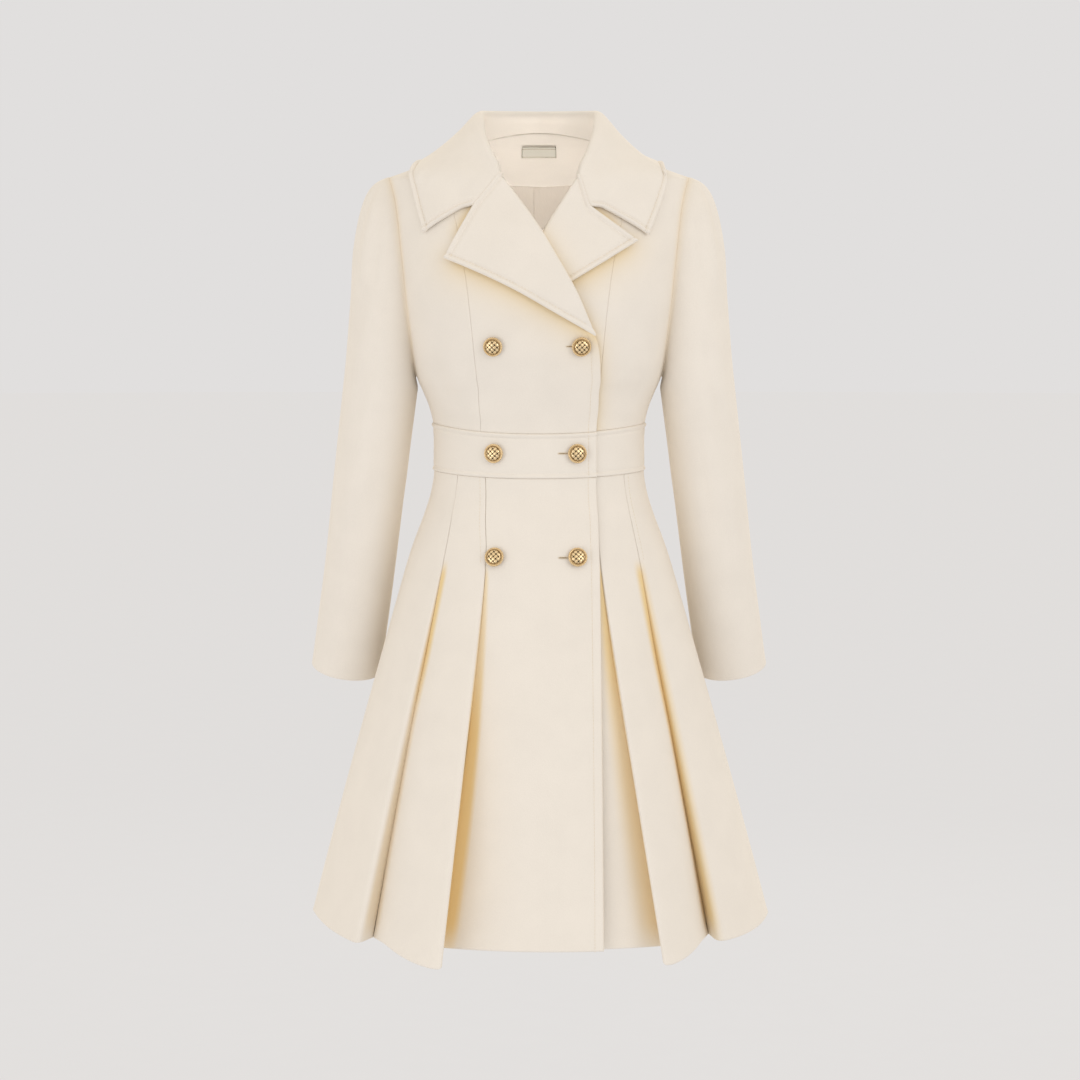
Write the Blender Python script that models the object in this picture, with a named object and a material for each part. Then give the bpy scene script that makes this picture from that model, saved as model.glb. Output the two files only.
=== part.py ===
"""Double-breasted princess coat in wool, hollow and filled out as if worn.

Metres, +Z up. The wearer faces -Y and the wearer's right is -X. The origin lies midway between the
shoulder tips, where the wearer's shoulders carry the coat. Right and left are the wearer's own.
"""

import math
from collections import namedtuple

import bmesh
import bpy
import numpy as np

# Cloth thicknesses and the gap left at every seam
CLOTH = 0.0024
BAND = 0.0030
LAPEL = 0.0028
COLLAR = 0.0034
FACING = 0.0012
LABEL = 0.0008
SEAM = 0.0003

# Heights of the seams that run round the body
WAIST_TOP = -0.2905
WAIST_TOP_DIP = 0.0090
WAIST_BOTTOM = -0.3470
WAIST_BOTTOM_DIP = 0.0055
BAND_RAISE = 0.0010
RELEASE = -0.458
HEM = -0.8863
HEM_DROOP_RUN = 0.79
SKIRT_BOW = 0.035
NECK_BACK = 0.058
NECK_SIDE = 0.044
MID_SHOULDER = 0.0185

# Rows shared by all bodice panels: two up the side seam, then ten round half an armhole
ROW_SHARES = (0.0, 0.10, 0.20, 0.28, 0.36, 0.44, 0.52, 0.60, 0.68, 0.76, 0.84, 0.92, 1.0)
UNDERARM_SHARE = 0.20
BREAK_SHARE = 0.36
FACING_ROW = 10
FACING_LOW = -0.0075

# Armhole, an upright loop on the side of the body
ARMHOLE_TOP = 0.0
ARMHOLE_BOTTOM = -0.236
ARMHOLE_FRONT = 0.052
ARMHOLE_BACK = 0.054

# How far the right front rides above the body where it laps over the left front
LAP = 0.0040
LAPEL_SWELL = 0.0036
SWELL_CENTRE = (0.015, -0.095)
SWELL_FLAT = 0.045
SWELL_EDGE = 0.095
LAP_START = math.radians(66)
LAP_RUN = math.radians(40)
LAP_FADE = -0.01
LAP_FADE_RUN = 0.06

# Roll of the lapels and of the collar, measured to the middle of the cloth
LAPEL_ROLL = 0.0019
LAPEL_OVER = 0.0008
HOOK_SET = 0.0010
COLLAR_ROLL = 0.0038
OVER = 0.0004
COLLAR_CLEAR = 0.0011
NECK_SET = -0.0020
NECK_GAP = 0.0018
COLLAR_END = 0.955
SETTLE_STEPS = 3

# Inside of the back
FACING_COLS = 6
LINING_HEM = 0.004
LABEL_WIDTH = 0.044
LABEL_HEIGHT = 0.013
LABEL_LOW = 0.0295
LABEL_SET = 0.0012

# Seam lip of a skirt gore where a pleat is stitched shut
LIP = 0.0031
TUCK_GAP = 0.0022

# Grid counts
FRONT_COLS = 9
SIDE_COLS = 7
BACK_COLS = 11
BAND_COLS = 15
GORE_UPPER_ROWS = 4
GORE_LOWER_ROWS = 4
GORE_COLS = 7
CAP_ROWS = 8
TUBE_ROWS = 6
COLLAR_STEPS = 6
COLLAR_COLS = 8
LAPEL_ROWS = 11
LAPEL_COLS = 7

Ring = namedtuple("Ring", "z half_width front back square")
BODY_RINGS = (
    Ring(-0.458, 0.1590, 0.119, 0.118, 2.1),
    Ring(-0.434, 0.1506, 0.112, 0.110, 2.1),
    Ring(-0.398, 0.1368, 0.103, 0.099, 2.2),
    Ring(-0.370, 0.1285, 0.096, 0.090, 2.2),
    Ring(-0.350, 0.1255, 0.094, 0.087, 2.2),
    Ring(-0.310, 0.1248, 0.094, 0.086, 2.2),
    Ring(-0.290, 0.1266, 0.096, 0.087, 2.2),
    Ring(-0.272, 0.1308, 0.100, 0.089, 2.3),
    Ring(-0.254, 0.1380, 0.105, 0.092, 2.3),
    Ring(-0.236, 0.1455, 0.111, 0.095, 2.4),
    Ring(-0.200, 0.1535, 0.121, 0.101, 2.5),
    Ring(-0.150, 0.1625, 0.127, 0.107, 2.5),
    Ring(-0.100, 0.1695, 0.119, 0.110, 2.5),
    Ring(-0.050, 0.1755, 0.103, 0.108, 2.4),
    Ring(0.000, 0.1780, 0.085, 0.100, 2.2),
    Ring(0.004, 0.1675, 0.083, 0.098, 2.2),
    Ring(0.015, 0.1380, 0.078, 0.094, 2.1),
    Ring(0.030, 0.1020, 0.072, 0.088, 2.0),
    Ring(0.045, 0.0790, 0.066, 0.082, 2.0),
    Ring(0.075, 0.0700, 0.060, 0.074, 2.0),
)

# Front edge, roll line, gorge, lapel outline and collar end, seen from the front
Point = namedtuple("Point", "x z")
FrontPlan = namedtuple(
    "FrontPlan", "side start brk roll_pull gorge notch tip lower_pull collar_notch collar_tip corner_drop"
)
RIGHT_FRONT = FrontPlan(
    side=-1.0,
    start=0.05,
    brk=Point(0.0672, -0.1834),
    roll_pull=Point(0.0200, -0.0760),
    gorge=Point(-0.0465, 0.0020),
    notch=Point(-0.0745, -0.0350),
    tip=Point(-0.1073, -0.0974),
    lower_pull=Point(-0.0190, -0.1350),
    collar_notch=Point(-0.0760, -0.0335),
    collar_tip=Point(-0.1310, -0.0680),
    corner_drop=-0.002,
)
LEFT_FRONT = FrontPlan(
    side=1.0,
    start=0.42,
    brk=Point(-0.0672, -0.1834),
    roll_pull=Point(-0.0200, -0.0760),
    gorge=Point(0.0465, 0.0020),
    notch=Point(0.0585, -0.0365),
    tip=Point(0.1135, -0.0770),
    lower_pull=Point(0.0240, -0.1330),
    collar_notch=Point(0.0600, -0.0325),
    collar_tip=Point(0.1255, -0.0705),
    corner_drop=0.011,
)
EDGE_WAIST_X = 0.0660
UNDERLAP_WAIST_X = -0.0500

# Princess seam from the waist to the middle of the shoulder
Station = namedtuple("Station", "share x z")
PRINCESS = (
    Station(0.00, 0.0675, WAIST_TOP),
    Station(0.40, 0.0770, -0.175),
    Station(0.70, 0.0880, -0.090),
    Station(0.88, 0.1050, -0.024),
    Station(1.00, 0.1296, MID_SHOULDER),
)

# Collar stations from the centre back round to the gorge, one half; share runs along the neckline
Collar = namedtuple("Collar", "name share roll_x roll_y roll_z edge_x edge_z lay")
COLLAR_STATIONS = (
    Collar("centre_back", 0.00, 0.0000, 0.074, 0.0813, 0.0000, 0.012, 0.0),
    Collar("back", 0.17, 0.0400, 0.063, 0.0811, 0.0800, 0.012, 0.0),
    Collar("back_side", 0.34, 0.0645, 0.036, 0.0800, 0.1290, 0.010, 0.0),
    Collar("side", 0.50, 0.0705, 0.004, 0.0765, 0.1440, 0.0125, 0.0),
    Collar("shoulder", 0.67, 0.0685, -0.038, 0.0560, 0.1490, 0.000, 0.25),
    Collar("front", 0.84, 0.0605, -0.066, 0.0310, 0.1440, -0.028, 0.60),
    Collar("gorge", COLLAR_END, 0.0475, -0.083, 0.0060, 0.1310, -0.068, 1.0),
)

# Skirt pleats: seam at waist and release, then crisp fold and hidden valley at the hem
Pleat = namedtuple("Pleat", "name waist_x release_x behind fold_x fold_y drop valley_x valley_y")
PLEATS = {
    pleat.name: pleat
    for pleat in (
        Pleat("right_outer", -0.0950, -0.1100, 0, -0.210, -0.162, 0.002, -0.203, -0.108),
        Pleat("right_inner", -0.0617, -0.0603, 0, -0.107, -0.247, 0.0145, -0.122, -0.186),
        Pleat("left_inner", 0.0665, 0.0708, 0, 0.138, -0.232, 0.014, 0.150, -0.178),
        Pleat("left_outer", 0.1006, 0.1180, 0, 0.208, -0.152, 0.002, 0.2145, -0.128),
        Pleat("back_right_outer", -0.0980, -0.1140, 1, -0.209, 0.157, 0.002, -0.206, 0.108),
        Pleat("back_right_inner", -0.0620, -0.0620, 1, -0.115, 0.243, 0.010, -0.130, 0.184),
        Pleat("back_left_inner", 0.0620, 0.0620, 1, 0.115, 0.243, 0.010, 0.130, 0.184),
        Pleat("back_left_outer", 0.0980, 0.1140, 1, 0.209, 0.157, 0.002, 0.206, 0.108),
    )
}
SIDE_HEM = {"side_right": 0.2742, "side_left": 0.2776}
SIDE_LIFT = {"side_right": 0.005, "side_left": 0.002}

# Free ends of gores that do not end at a pleat or a side seam
End = namedtuple("End", "waist_x release_x behind hem_x hem_y")
FREE_ENDS = {
    "front_edge": End(0.0664, 0.0700, 0, 0.0745, -0.211),
    "underlap": End(-0.0490, -0.0490, 0, -0.058, -0.203),
}

# Gores: where the folded or free side starts, where the other side ends, and the belly of the hem
Gore = namedtuple("Gore", "name start end belly_x belly_y laps")
GORES = (
    Gore("skirt_right_centre", "front_edge", "right_inner", -0.036, -0.2265, 1),
    Gore("skirt_right_middle", "right_inner", "right_outer", -0.161, -0.2185, 1),
    Gore("skirt_right_side", "right_outer", "side_right", -0.2562, -0.085, 1),
    Gore("skirt_left_centre", "underlap", "left_inner", 0.060, -0.215, 0),
    Gore("skirt_left_middle", "left_inner", "left_outer", 0.179, -0.205, 0),
    Gore("skirt_left_side", "left_outer", "side_left", 0.2635, -0.104, 0),
    Gore("skirt_back_right_side", "back_right_outer", "side_right", -0.2575, 0.092, 0),
    Gore("skirt_back_right_middle", "back_right_inner", "back_right_outer", -0.168, 0.214, 0),
    Gore("skirt_back_centre", "back_right_inner", "back_left_inner", 0.000, 0.244, 0),
    Gore("skirt_back_left_middle", "back_left_inner", "back_left_outer", 0.168, 0.214, 0),
    Gore("skirt_back_left_side", "back_left_outer", "side_left", 0.2605, 0.092, 0),
)

# Sleeve sections from the underarm to the cuff, left arm
Section = namedtuple("Section", "name x y z half_width half_depth")
SLEEVE_SECTIONS = (
    Section("bicep", 0.1892, 0.004, -0.2455, 0.0445, 0.059),
    Section("elbow", 0.2039, 0.020, -0.3600, 0.0434, 0.056),
    Section("forearm", 0.2185, 0.043, -0.4750, 0.0425, 0.052),
    Section("cuff", 0.2360, 0.069, -0.5935, 0.0425, 0.048),
)
CAP_RISE = 0.125
CAP_LEAST = 0.012
CAP_FALL = 1.2
TOP_SLEEVE = (198.0, 432.0)
UNDER_SLEEVE = (72.0, 198.0)
TOP_SLEEVE_COLS = 14
UNDER_SLEEVE_COLS = 8

# Buttons on the right front, and the turned outline of one: radius against height above the cloth
Button = namedtuple("Button", "name x z")
BUTTONS = (
    Button("button_top_outer", -0.0522, -0.1973),
    Button("button_top_inner", 0.0481, -0.1973),
    Button("button_waist_outer", -0.0508, -0.3229),
    Button("button_waist_inner", 0.0430, -0.3229),
    Button("button_skirt_outer", -0.0505, -0.4443),
    Button("button_skirt_inner", 0.0437, -0.4443),
)
Turn = namedtuple("Turn", "radius height")
BUTTON_OUTLINE = (
    Turn(0.0030, 0.0000),
    Turn(0.0030, 0.0014),
    Turn(0.0105, 0.0018),
    Turn(0.0115, 0.0030),
    Turn(0.0108, 0.0044),
    Turn(0.0092, 0.0044),
    Turn(0.0070, 0.0060),
    Turn(0.0038, 0.0070),
)
BUTTON_CROWN = 0.0073
BUTTON_SIDES = 16

# Plain colours, linear
WOOL = (0.83, 0.76, 0.66, 1.0)
SATIN = (0.60, 0.49, 0.38, 1.0)
PALE = (0.88, 0.86, 0.80, 1.0)
BRASS = (0.62, 0.42, 0.16, 1.0)


def smooth_through(places, values):
    """A curve through the given values that never overshoots them."""
    places = np.asarray(places, float)
    values = np.asarray(values, float)
    step = np.diff(places)
    slope = np.diff(values) / step
    tangent = np.concatenate(([slope[0]], np.zeros(len(slope) - 1), [slope[-1]]))
    for k in range(1, len(slope)):
        if slope[k - 1] * slope[k] > 0:
            before = 2 * step[k] + step[k - 1]
            after = step[k] + 2 * step[k - 1]
            tangent[k] = (before + after) / (before / slope[k - 1] + after / slope[k])

    def value(place):
        place = np.clip(np.asarray(place, float), places[0], places[-1])
        k = np.clip(np.searchsorted(places, place) - 1, 0, len(step) - 1)
        t = (place - places[k]) / step[k]
        rise = values[k] * (1 + 2 * t) * (1 - t) ** 2 + values[k + 1] * t * t * (3 - 2 * t)
        lean = tangent[k] * t * (1 - t) ** 2 - tangent[k + 1] * t * t * (1 - t)
        return rise + lean * step[k]

    return value


def column(rows, key, name):
    """One column of a table as a smooth curve over its key column."""
    return smooth_through([getattr(row, key) for row in rows], [getattr(row, name) for row in rows])


HALF_WIDTH = column(BODY_RINGS, "z", "half_width")
FRONT = column(BODY_RINGS, "z", "front")
BACK = column(BODY_RINGS, "z", "back")
SQUARE = column(BODY_RINGS, "z", "square")


def ease(share):
    """Smooth step from 0 to 1."""
    share = np.clip(share, 0.0, 1.0)
    return share * share * (3.0 - 2.0 * share)


def unit(vectors):
    """Vectors scaled to length one."""
    length = np.linalg.norm(vectors, axis=-1, keepdims=True)
    return vectors / np.maximum(length, 1e-12)


def body(turn, z):
    """Point of the worn form; turn is 0 at the centre front and grows towards the left side."""
    turn, z = np.broadcast_arrays(np.asarray(turn, float), np.asarray(z, float))
    power = 2.0 / SQUARE(z)
    across = np.sin(turn)
    ahead = np.cos(turn)
    depth = np.where(ahead > 0, FRONT(z), BACK(z))
    x = HALF_WIDTH(z) * np.sign(across) * np.abs(across) ** power
    y = -depth * np.sign(ahead) * np.abs(ahead) ** power
    return np.stack((x, y, z), axis=-1)


def body_normal(turn, z):
    """Outward direction of the worn form."""
    around = body(turn + 0.001, z) - body(turn - 0.001, z)
    up = body(turn, z + 0.0002) - body(turn, z - 0.0002)
    return unit(np.cross(around, up))


def turn_at(x, z, behind=0):
    """Turn at which the form has the given x."""
    share = np.clip(np.abs(x) / HALF_WIDTH(z), 0.0, 1.0)
    turn = np.sign(x) * np.arcsin(share ** (SQUARE(z) / 2.0))
    return math.pi - turn if behind else turn


def lap(turn, z):
    """Rise of the right front above the form, none at its side seam and none above the lapels' crossing."""
    near = ease((turn + LAP_START) / LAP_RUN)
    place = body(turn, z)
    away = np.hypot(place[..., 0] - SWELL_CENTRE[0], place[..., 2] - SWELL_CENTRE[1])
    swell = LAPEL_SWELL * (1.0 - ease((away - SWELL_FLAT) / (SWELL_EDGE - SWELL_FLAT)))
    return (LAP * ease((LAP_FADE - z) / LAP_FADE_RUN) + swell) * near


def level(turn, z):
    """No rise: the cloth lies on the form."""
    return np.zeros(np.broadcast(turn, z).shape)


def waist_top(turn):
    """Height of the seam above the waistband, lower at the centre front."""
    return WAIST_TOP - WAIST_TOP_DIP * np.maximum(np.cos(turn), 0.0) ** 2


def waist_bottom(turn):
    """Height of the seam below the waistband."""
    return WAIST_BOTTOM - WAIST_BOTTOM_DIP * np.maximum(np.cos(turn), 0.0) ** 2


def armhole(round_turn, side, within=0.0):
    """Armhole loop as turn and height: 0 at the shoulder tip, forward, pi at the underarm."""
    drop = ARMHOLE_TOP - ARMHOLE_BOTTOM - 2 * within
    z = ARMHOLE_TOP - within - drop * (1.0 - np.cos(round_turn)) / 2.0
    reach = np.sin(round_turn)
    ahead = reach > 0
    y = np.where(ahead, ARMHOLE_FRONT - within, ARMHOLE_BACK - within) * np.abs(reach)
    depth = np.where(ahead, FRONT(z), BACK(z))
    turn = np.arccos(np.clip(y / depth, 0.0, 1.0) ** (SQUARE(z) / 2.0))
    return side * np.where(ahead, turn, math.pi - turn), z


def bend(start, pull, end, share):
    """Quadratic curve in the front view."""
    x = (1 - share) ** 2 * start.x + 2 * share * (1 - share) * pull.x + share ** 2 * end.x
    z = (1 - share) ** 2 * start.z + 2 * share * (1 - share) * pull.z + share ** 2 * end.z
    return x, z


def outside(points):
    """Distance outside the form, and its direction, near the form."""

    def measure(p):
        x, y, z = p[..., 0], p[..., 1], p[..., 2]
        depth = np.where(y < 0, FRONT(z), BACK(z))
        power = SQUARE(z)
        return ((np.abs(x) / HALF_WIDTH(z)) ** power + (np.abs(y) / depth) ** power) ** (1.0 / power)

    step = 0.0002
    slope = []
    for axis in np.eye(3) * step:
        slope.append((measure(points + axis) - measure(points - axis)) / (2 * step))
    slope = np.stack(slope, axis=-1)
    steep = np.linalg.norm(slope, axis=-1)
    return (measure(points) - 1.0) / steep, slope / steep[..., None]


def coons(bottom, top, left, right, cols):
    """Grid of points on the form, filled in between four edges."""
    q = np.linspace(0.0, 1.0, cols)
    v = np.array(ROW_SHARES)
    low = body(*bottom(q))[None, :, :]
    high = body(*top(q))[None, :, :]
    near = body(*left(v))[:, None, :]
    far = body(*right(v))[:, None, :]
    q = q[None, :, None]
    v = v[:, None, None]
    foot = (1 - q) * low[:, :1] + q * low[:, -1:]
    head = (1 - q) * high[:, :1] + q * high[:, -1:]
    grid = (1 - v) * (low - foot) + v * (high - head) + (1 - q) * near + q * far
    return to_form(inset(grid, SEAM * 0.8))


def inset(grid, amount):
    """Draw the border of a grid of points in by half a seam gap."""
    grid = grid.copy()
    for _ in range(2):
        for edge, inner in ((0, 1), (-1, -2)):
            run = grid[inner] - grid[edge]
            grid[edge] += unit(run) * amount
        grid = grid.swapaxes(0, 1)
    return grid


def to_form(points):
    """Points drawn onto the form."""
    points = points.copy()
    for _ in range(10):
        far, direction = outside(points)
        points -= direction * far[..., None]
    return points


def rise_at(points, rise):
    """Rise of the cloth above the form at points on its front."""
    return rise(turn_at(points[..., 0], points[..., 2]), points[..., 2])[..., None]


def on_body(points, rise, outer, inner):
    """Two skins at the given offsets from the form."""
    normal = outside(points)[1]
    lift = rise_at(points, rise)
    return points + normal * (lift + outer), points + normal * (lift + inner)


def add_wall(name, outer, inner, material, mirrored=range(0)):
    """Closed solid between two grids of points; the facets of the listed rows are mirrored."""
    rows, cols = outer.shape[:2]
    mesh = bpy.data.meshes.new(name)
    shape = bmesh.new()
    skins = []
    for grid in (outer, inner):
        skins.append([[shape.verts.new(tuple(grid[r, c])) for c in range(cols)] for r in range(rows)])
    for r in range(rows - 1):
        for c in range(cols - 1):
            for skin in skins:
                quad = (skin[r][c], skin[r][c + 1], skin[r + 1][c + 1], skin[r + 1][c])
                shape.faces.new(quad[1:] + quad[:1] if r in mirrored else quad)
    border = [(0, c) for c in range(cols)]
    border += [(r, cols - 1) for r in range(1, rows)]
    border += [(rows - 1, c) for c in range(cols - 2, -1, -1)]
    border += [(r, 0) for r in range(rows - 2, 0, -1)]
    for k, (r, c) in enumerate(border):
        s, d = border[(k + 1) % len(border)]
        shape.faces.new((skins[0][r][c], skins[0][s][d], skins[1][s][d], skins[1][r][c]))
    bmesh.ops.recalc_face_normals(shape, faces=shape.faces)
    shape.to_mesh(mesh)
    shape.free()
    mesh.materials.append(material)
    piece = bpy.data.objects.new(name, mesh)
    bpy.context.scene.collection.objects.link(piece)
    return piece


def paint(name, colour, rough, metal=0.0):
    """Plain material of one piece."""
    material = bpy.data.materials.new(name)
    material.use_nodes = True
    shader = material.node_tree.nodes["Principled BSDF"]
    shader.inputs["Base Color"].default_value = colour
    shader.inputs["Roughness"].default_value = rough
    shader.inputs["Metallic"].default_value = metal
    material.diffuse_color = colour
    return material


def wool(name):
    """Coating wool."""
    return paint(name + "_wool", WOOL, 0.9)


def princess(side):
    """Princess seam of one side as turn and height."""
    x = column(PRINCESS, "share", "x")
    z = column(PRINCESS, "share", "z")

    def edge(v):
        height = z(v)
        turn = turn_at(side * x(v), height)
        low = waist_top(turn) - WAIST_TOP
        return turn, height + low * (1 - v) ** 2

    return edge


def front_edge(plan, waist_x):
    """Front edge below the break and roll line above it."""

    def edge(v):
        below = np.clip(v / BREAK_SHARE, 0.0, 1.0)
        roll = np.clip((v - BREAK_SHARE) / (1.0 - BREAK_SHARE), 0.0, 1.0)
        turn = turn_at(waist_x, WAIST_TOP)
        foot = waist_top(turn)
        x, z = bend(plan.brk, plan.roll_pull, plan.gorge, roll)
        x = np.where(v < BREAK_SHARE, waist_x + (plan.brk.x - waist_x) * below, x)
        z = np.where(v < BREAK_SHARE, foot + (plan.brk.z - foot) * below, z)
        return turn_at(x, z), z

    return edge


def waist_run(first, last):
    """Waist seam between two turns."""

    def edge(q):
        turn = first + (last - first) * q
        return turn, waist_top(turn)

    return edge


def front_top(plan):
    """Neckline from the gorge to the neck point, then the shoulder seam to the princess seam."""
    side = plan.side
    neck_x = float(HALF_WIDTH(NECK_SIDE))

    def edge(q):
        neck = np.clip(q / 0.5, 0.0, 1.0)
        shoulder = np.clip((q - 0.5) / 0.5, 0.0, 1.0)
        x = abs(plan.gorge.x) + (neck_x - abs(plan.gorge.x)) * neck
        z = plan.gorge.z + (NECK_SIDE - plan.gorge.z) * neck
        z = np.where(q > 0.5, NECK_SIDE + (MID_SHOULDER - NECK_SIDE) * shoulder, z)
        turn = np.where(q < 0.5, turn_at(side * x, z), side * math.pi / 2)
        return turn, z

    return edge


def side_edge(side, front):
    """Side seam up to the underarm, then the front or back of the armhole to the shoulder tip."""

    def edge(v):
        seam = np.clip(v / UNDERARM_SHARE, 0.0, 1.0)
        loop = np.clip((v - UNDERARM_SHARE) / (1.0 - UNDERARM_SHARE), 0.0, 1.0)
        round_turn = math.pi * (1.0 - loop) if front else math.pi * (1.0 + loop)
        round_turn = np.clip(round_turn, 0.0001, 2 * math.pi - 0.0001)
        turn, z = armhole(round_turn, side)
        z = np.where(v < UNDERARM_SHARE, WAIST_TOP + (ARMHOLE_BOTTOM - WAIST_TOP) * seam, z)
        turn = np.where(v < UNDERARM_SHARE, side * math.pi / 2, turn)
        return turn, z

    return edge


def shoulder_run(side, first, last):
    """Shoulder seam between two heights."""

    def edge(q):
        return np.full(np.shape(q), side * math.pi / 2), first + (last - first) * q

    return edge


def back_top(side):
    """Back neckline, then the whole shoulder seam."""

    def edge(q):
        neck = np.clip(q / 0.4, 0.0, 1.0)
        shoulder = np.clip((q - 0.4) / 0.6, 0.0, 1.0)
        turn = side * (math.pi - neck * math.pi / 2)
        z = NECK_SIDE + (NECK_BACK - NECK_SIDE) * np.cos(neck * math.pi / 2) ** 2
        z = np.where(q > 0.4, NECK_SIDE + (ARMHOLE_TOP - NECK_SIDE) * shoulder, z)
        return turn, z

    return edge


def centre_back(side):
    """Centre back seam from the waist past the lower edge of the neck facing to the neck."""
    rise = smooth_through((0.0, ROW_SHARES[FACING_ROW], 1.0), (WAIST_TOP, FACING_LOW, NECK_BACK))

    def edge(v):
        return np.full(np.shape(v), side * math.pi), rise(v)

    return edge


def back_grid(side):
    """Grid of one back panel."""
    low = waist_run(side * math.pi, side * math.pi / 2)
    return coons(low, back_top(side), centre_back(side), side_edge(side, False), BACK_COLS)


def build_bodice():
    """Two fronts, two side fronts and two backs."""
    fronts = (
        ("bodice_right_front", "bodice_right_side_front", RIGHT_FRONT, EDGE_WAIST_X, lap),
        ("bodice_left_front", "bodice_left_side_front", LEFT_FRONT, UNDERLAP_WAIST_X, level),
    )
    for front_name, side_name, plan, waist_x, rise in fronts:
        side = plan.side
        seam = princess(side)
        seam_turn = float(seam(np.array(0.0))[0])
        inner = front_edge(plan, waist_x)
        first = float(inner(np.array(0.0))[0])
        grid = coons(waist_run(first, seam_turn), front_top(plan), inner, seam, FRONT_COLS)
        add_wall(front_name, *on_body(grid, rise, 0.0, -CLOTH), wool(front_name))
        shoulder = shoulder_run(side, MID_SHOULDER, ARMHOLE_TOP)
        low = waist_run(seam_turn, side * math.pi / 2)
        grid = coons(low, shoulder, seam, side_edge(side, True), SIDE_COLS)
        add_wall(side_name, *on_body(grid, rise, 0.0, -CLOTH), wool(side_name))
    for name, side in (("bodice_right_back", -1.0), ("bodice_left_back", 1.0)):
        add_wall(name, *on_body(back_grid(side), level, 0.0, -CLOTH), wool(name))


def build_waistband():
    """Raised band in three pieces; the right front laps over the left."""
    over = float(turn_at(EDGE_WAIST_X, -0.32))
    under = float(turn_at(UNDERLAP_WAIST_X, -0.32))
    pieces = (
        ("waistband_right_front", -math.pi / 2, over, lap),
        ("waistband_left_front", under, math.pi / 2, level),
        ("waistband_back", math.pi / 2, 1.5 * math.pi, level),
    )
    for name, first, last, rise in pieces:
        turn = np.linspace(first, last, BAND_COLS)[None, :]
        share = np.linspace(0.0, 1.0, 4)[:, None]
        z = waist_bottom(turn) + (waist_top(turn) - waist_bottom(turn)) * share
        grid = inset(body(turn, z), SEAM * 0.6)
        add_wall(name, *on_body(grid, rise, BAND_RAISE, BAND_RAISE - BAND), wool(name))


def gore_end(name):
    """Turns at waist and release, and plan point at the hem, of one side of a gore."""
    if name.startswith("side"):
        turn = math.pi / 2 if name.endswith("left") else -math.pi / 2
        return turn, turn, np.array((math.copysign(SIDE_HEM[name], turn), 0.0)), 0.0
    if name in FREE_ENDS:
        end = FREE_ENDS[name]
        plan = np.array((end.hem_x, end.hem_y))
        drop = 0.0
    else:
        end = PLEATS[name]
        plan = np.array((end.fold_x, end.fold_y))
        drop = end.drop
    waist = float(turn_at(end.waist_x, -0.355, end.behind))
    release = float(turn_at(end.release_x, RELEASE, end.behind))
    return waist, release, plan, drop


def near_turn(turn, other):
    """The same turn written within half a circle of another."""
    return other + (turn - other + math.pi) % (2 * math.pi) - math.pi


def plan_offset(line, thickness):
    """Plan polyline moved to its inner side by the cloth thickness, with mitred corners."""
    run = unit(np.diff(line, axis=0))
    side = np.stack((run[:, 1], -run[:, 0]), axis=-1)
    before = np.vstack((side[:1], side))
    after = np.vstack((side, side[-1:]))
    mitre = unit(before + after)
    reach = np.maximum((mitre * after).sum(axis=1), 0.45)
    return line - mitre * (thickness / reach)[:, None]


def seam_turn(hem_gap):
    """Turn left free at a seam above the pleats, wider where a gore is tucked behind a fold."""
    return (SEAM * 2.0 if hem_gap == TUCK_GAP else SEAM * 0.6) / 0.12


def pleat_inward(pleat):
    """Plan direction from a pleat's seam at the release straight into the coat."""
    turn = turn_at(pleat.release_x, RELEASE, pleat.behind)
    return -unit(body_normal(turn, RELEASE)[:2])


def pleat_slant(pleat):
    """Sideways part of the step from fold to valley at the hem."""
    step = np.array((pleat.valley_x - pleat.fold_x, pleat.valley_y - pleat.fold_y))
    inward = pleat_inward(pleat)
    return step - inward * (step @ inward)


def tuck_way(name, plan, belly, gap):
    """Plan direction in which a gore's end at the hem keeps clear of its neighbour."""
    towards = unit(belly - plan)
    if gap != TUCK_GAP:
        return towards
    pleat = PLEATS[name]
    run = unit(np.array((pleat.fold_x - pleat.valley_x, pleat.fold_y - pleat.valley_y)))
    return unit(towards - run * (towards @ run))


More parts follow.
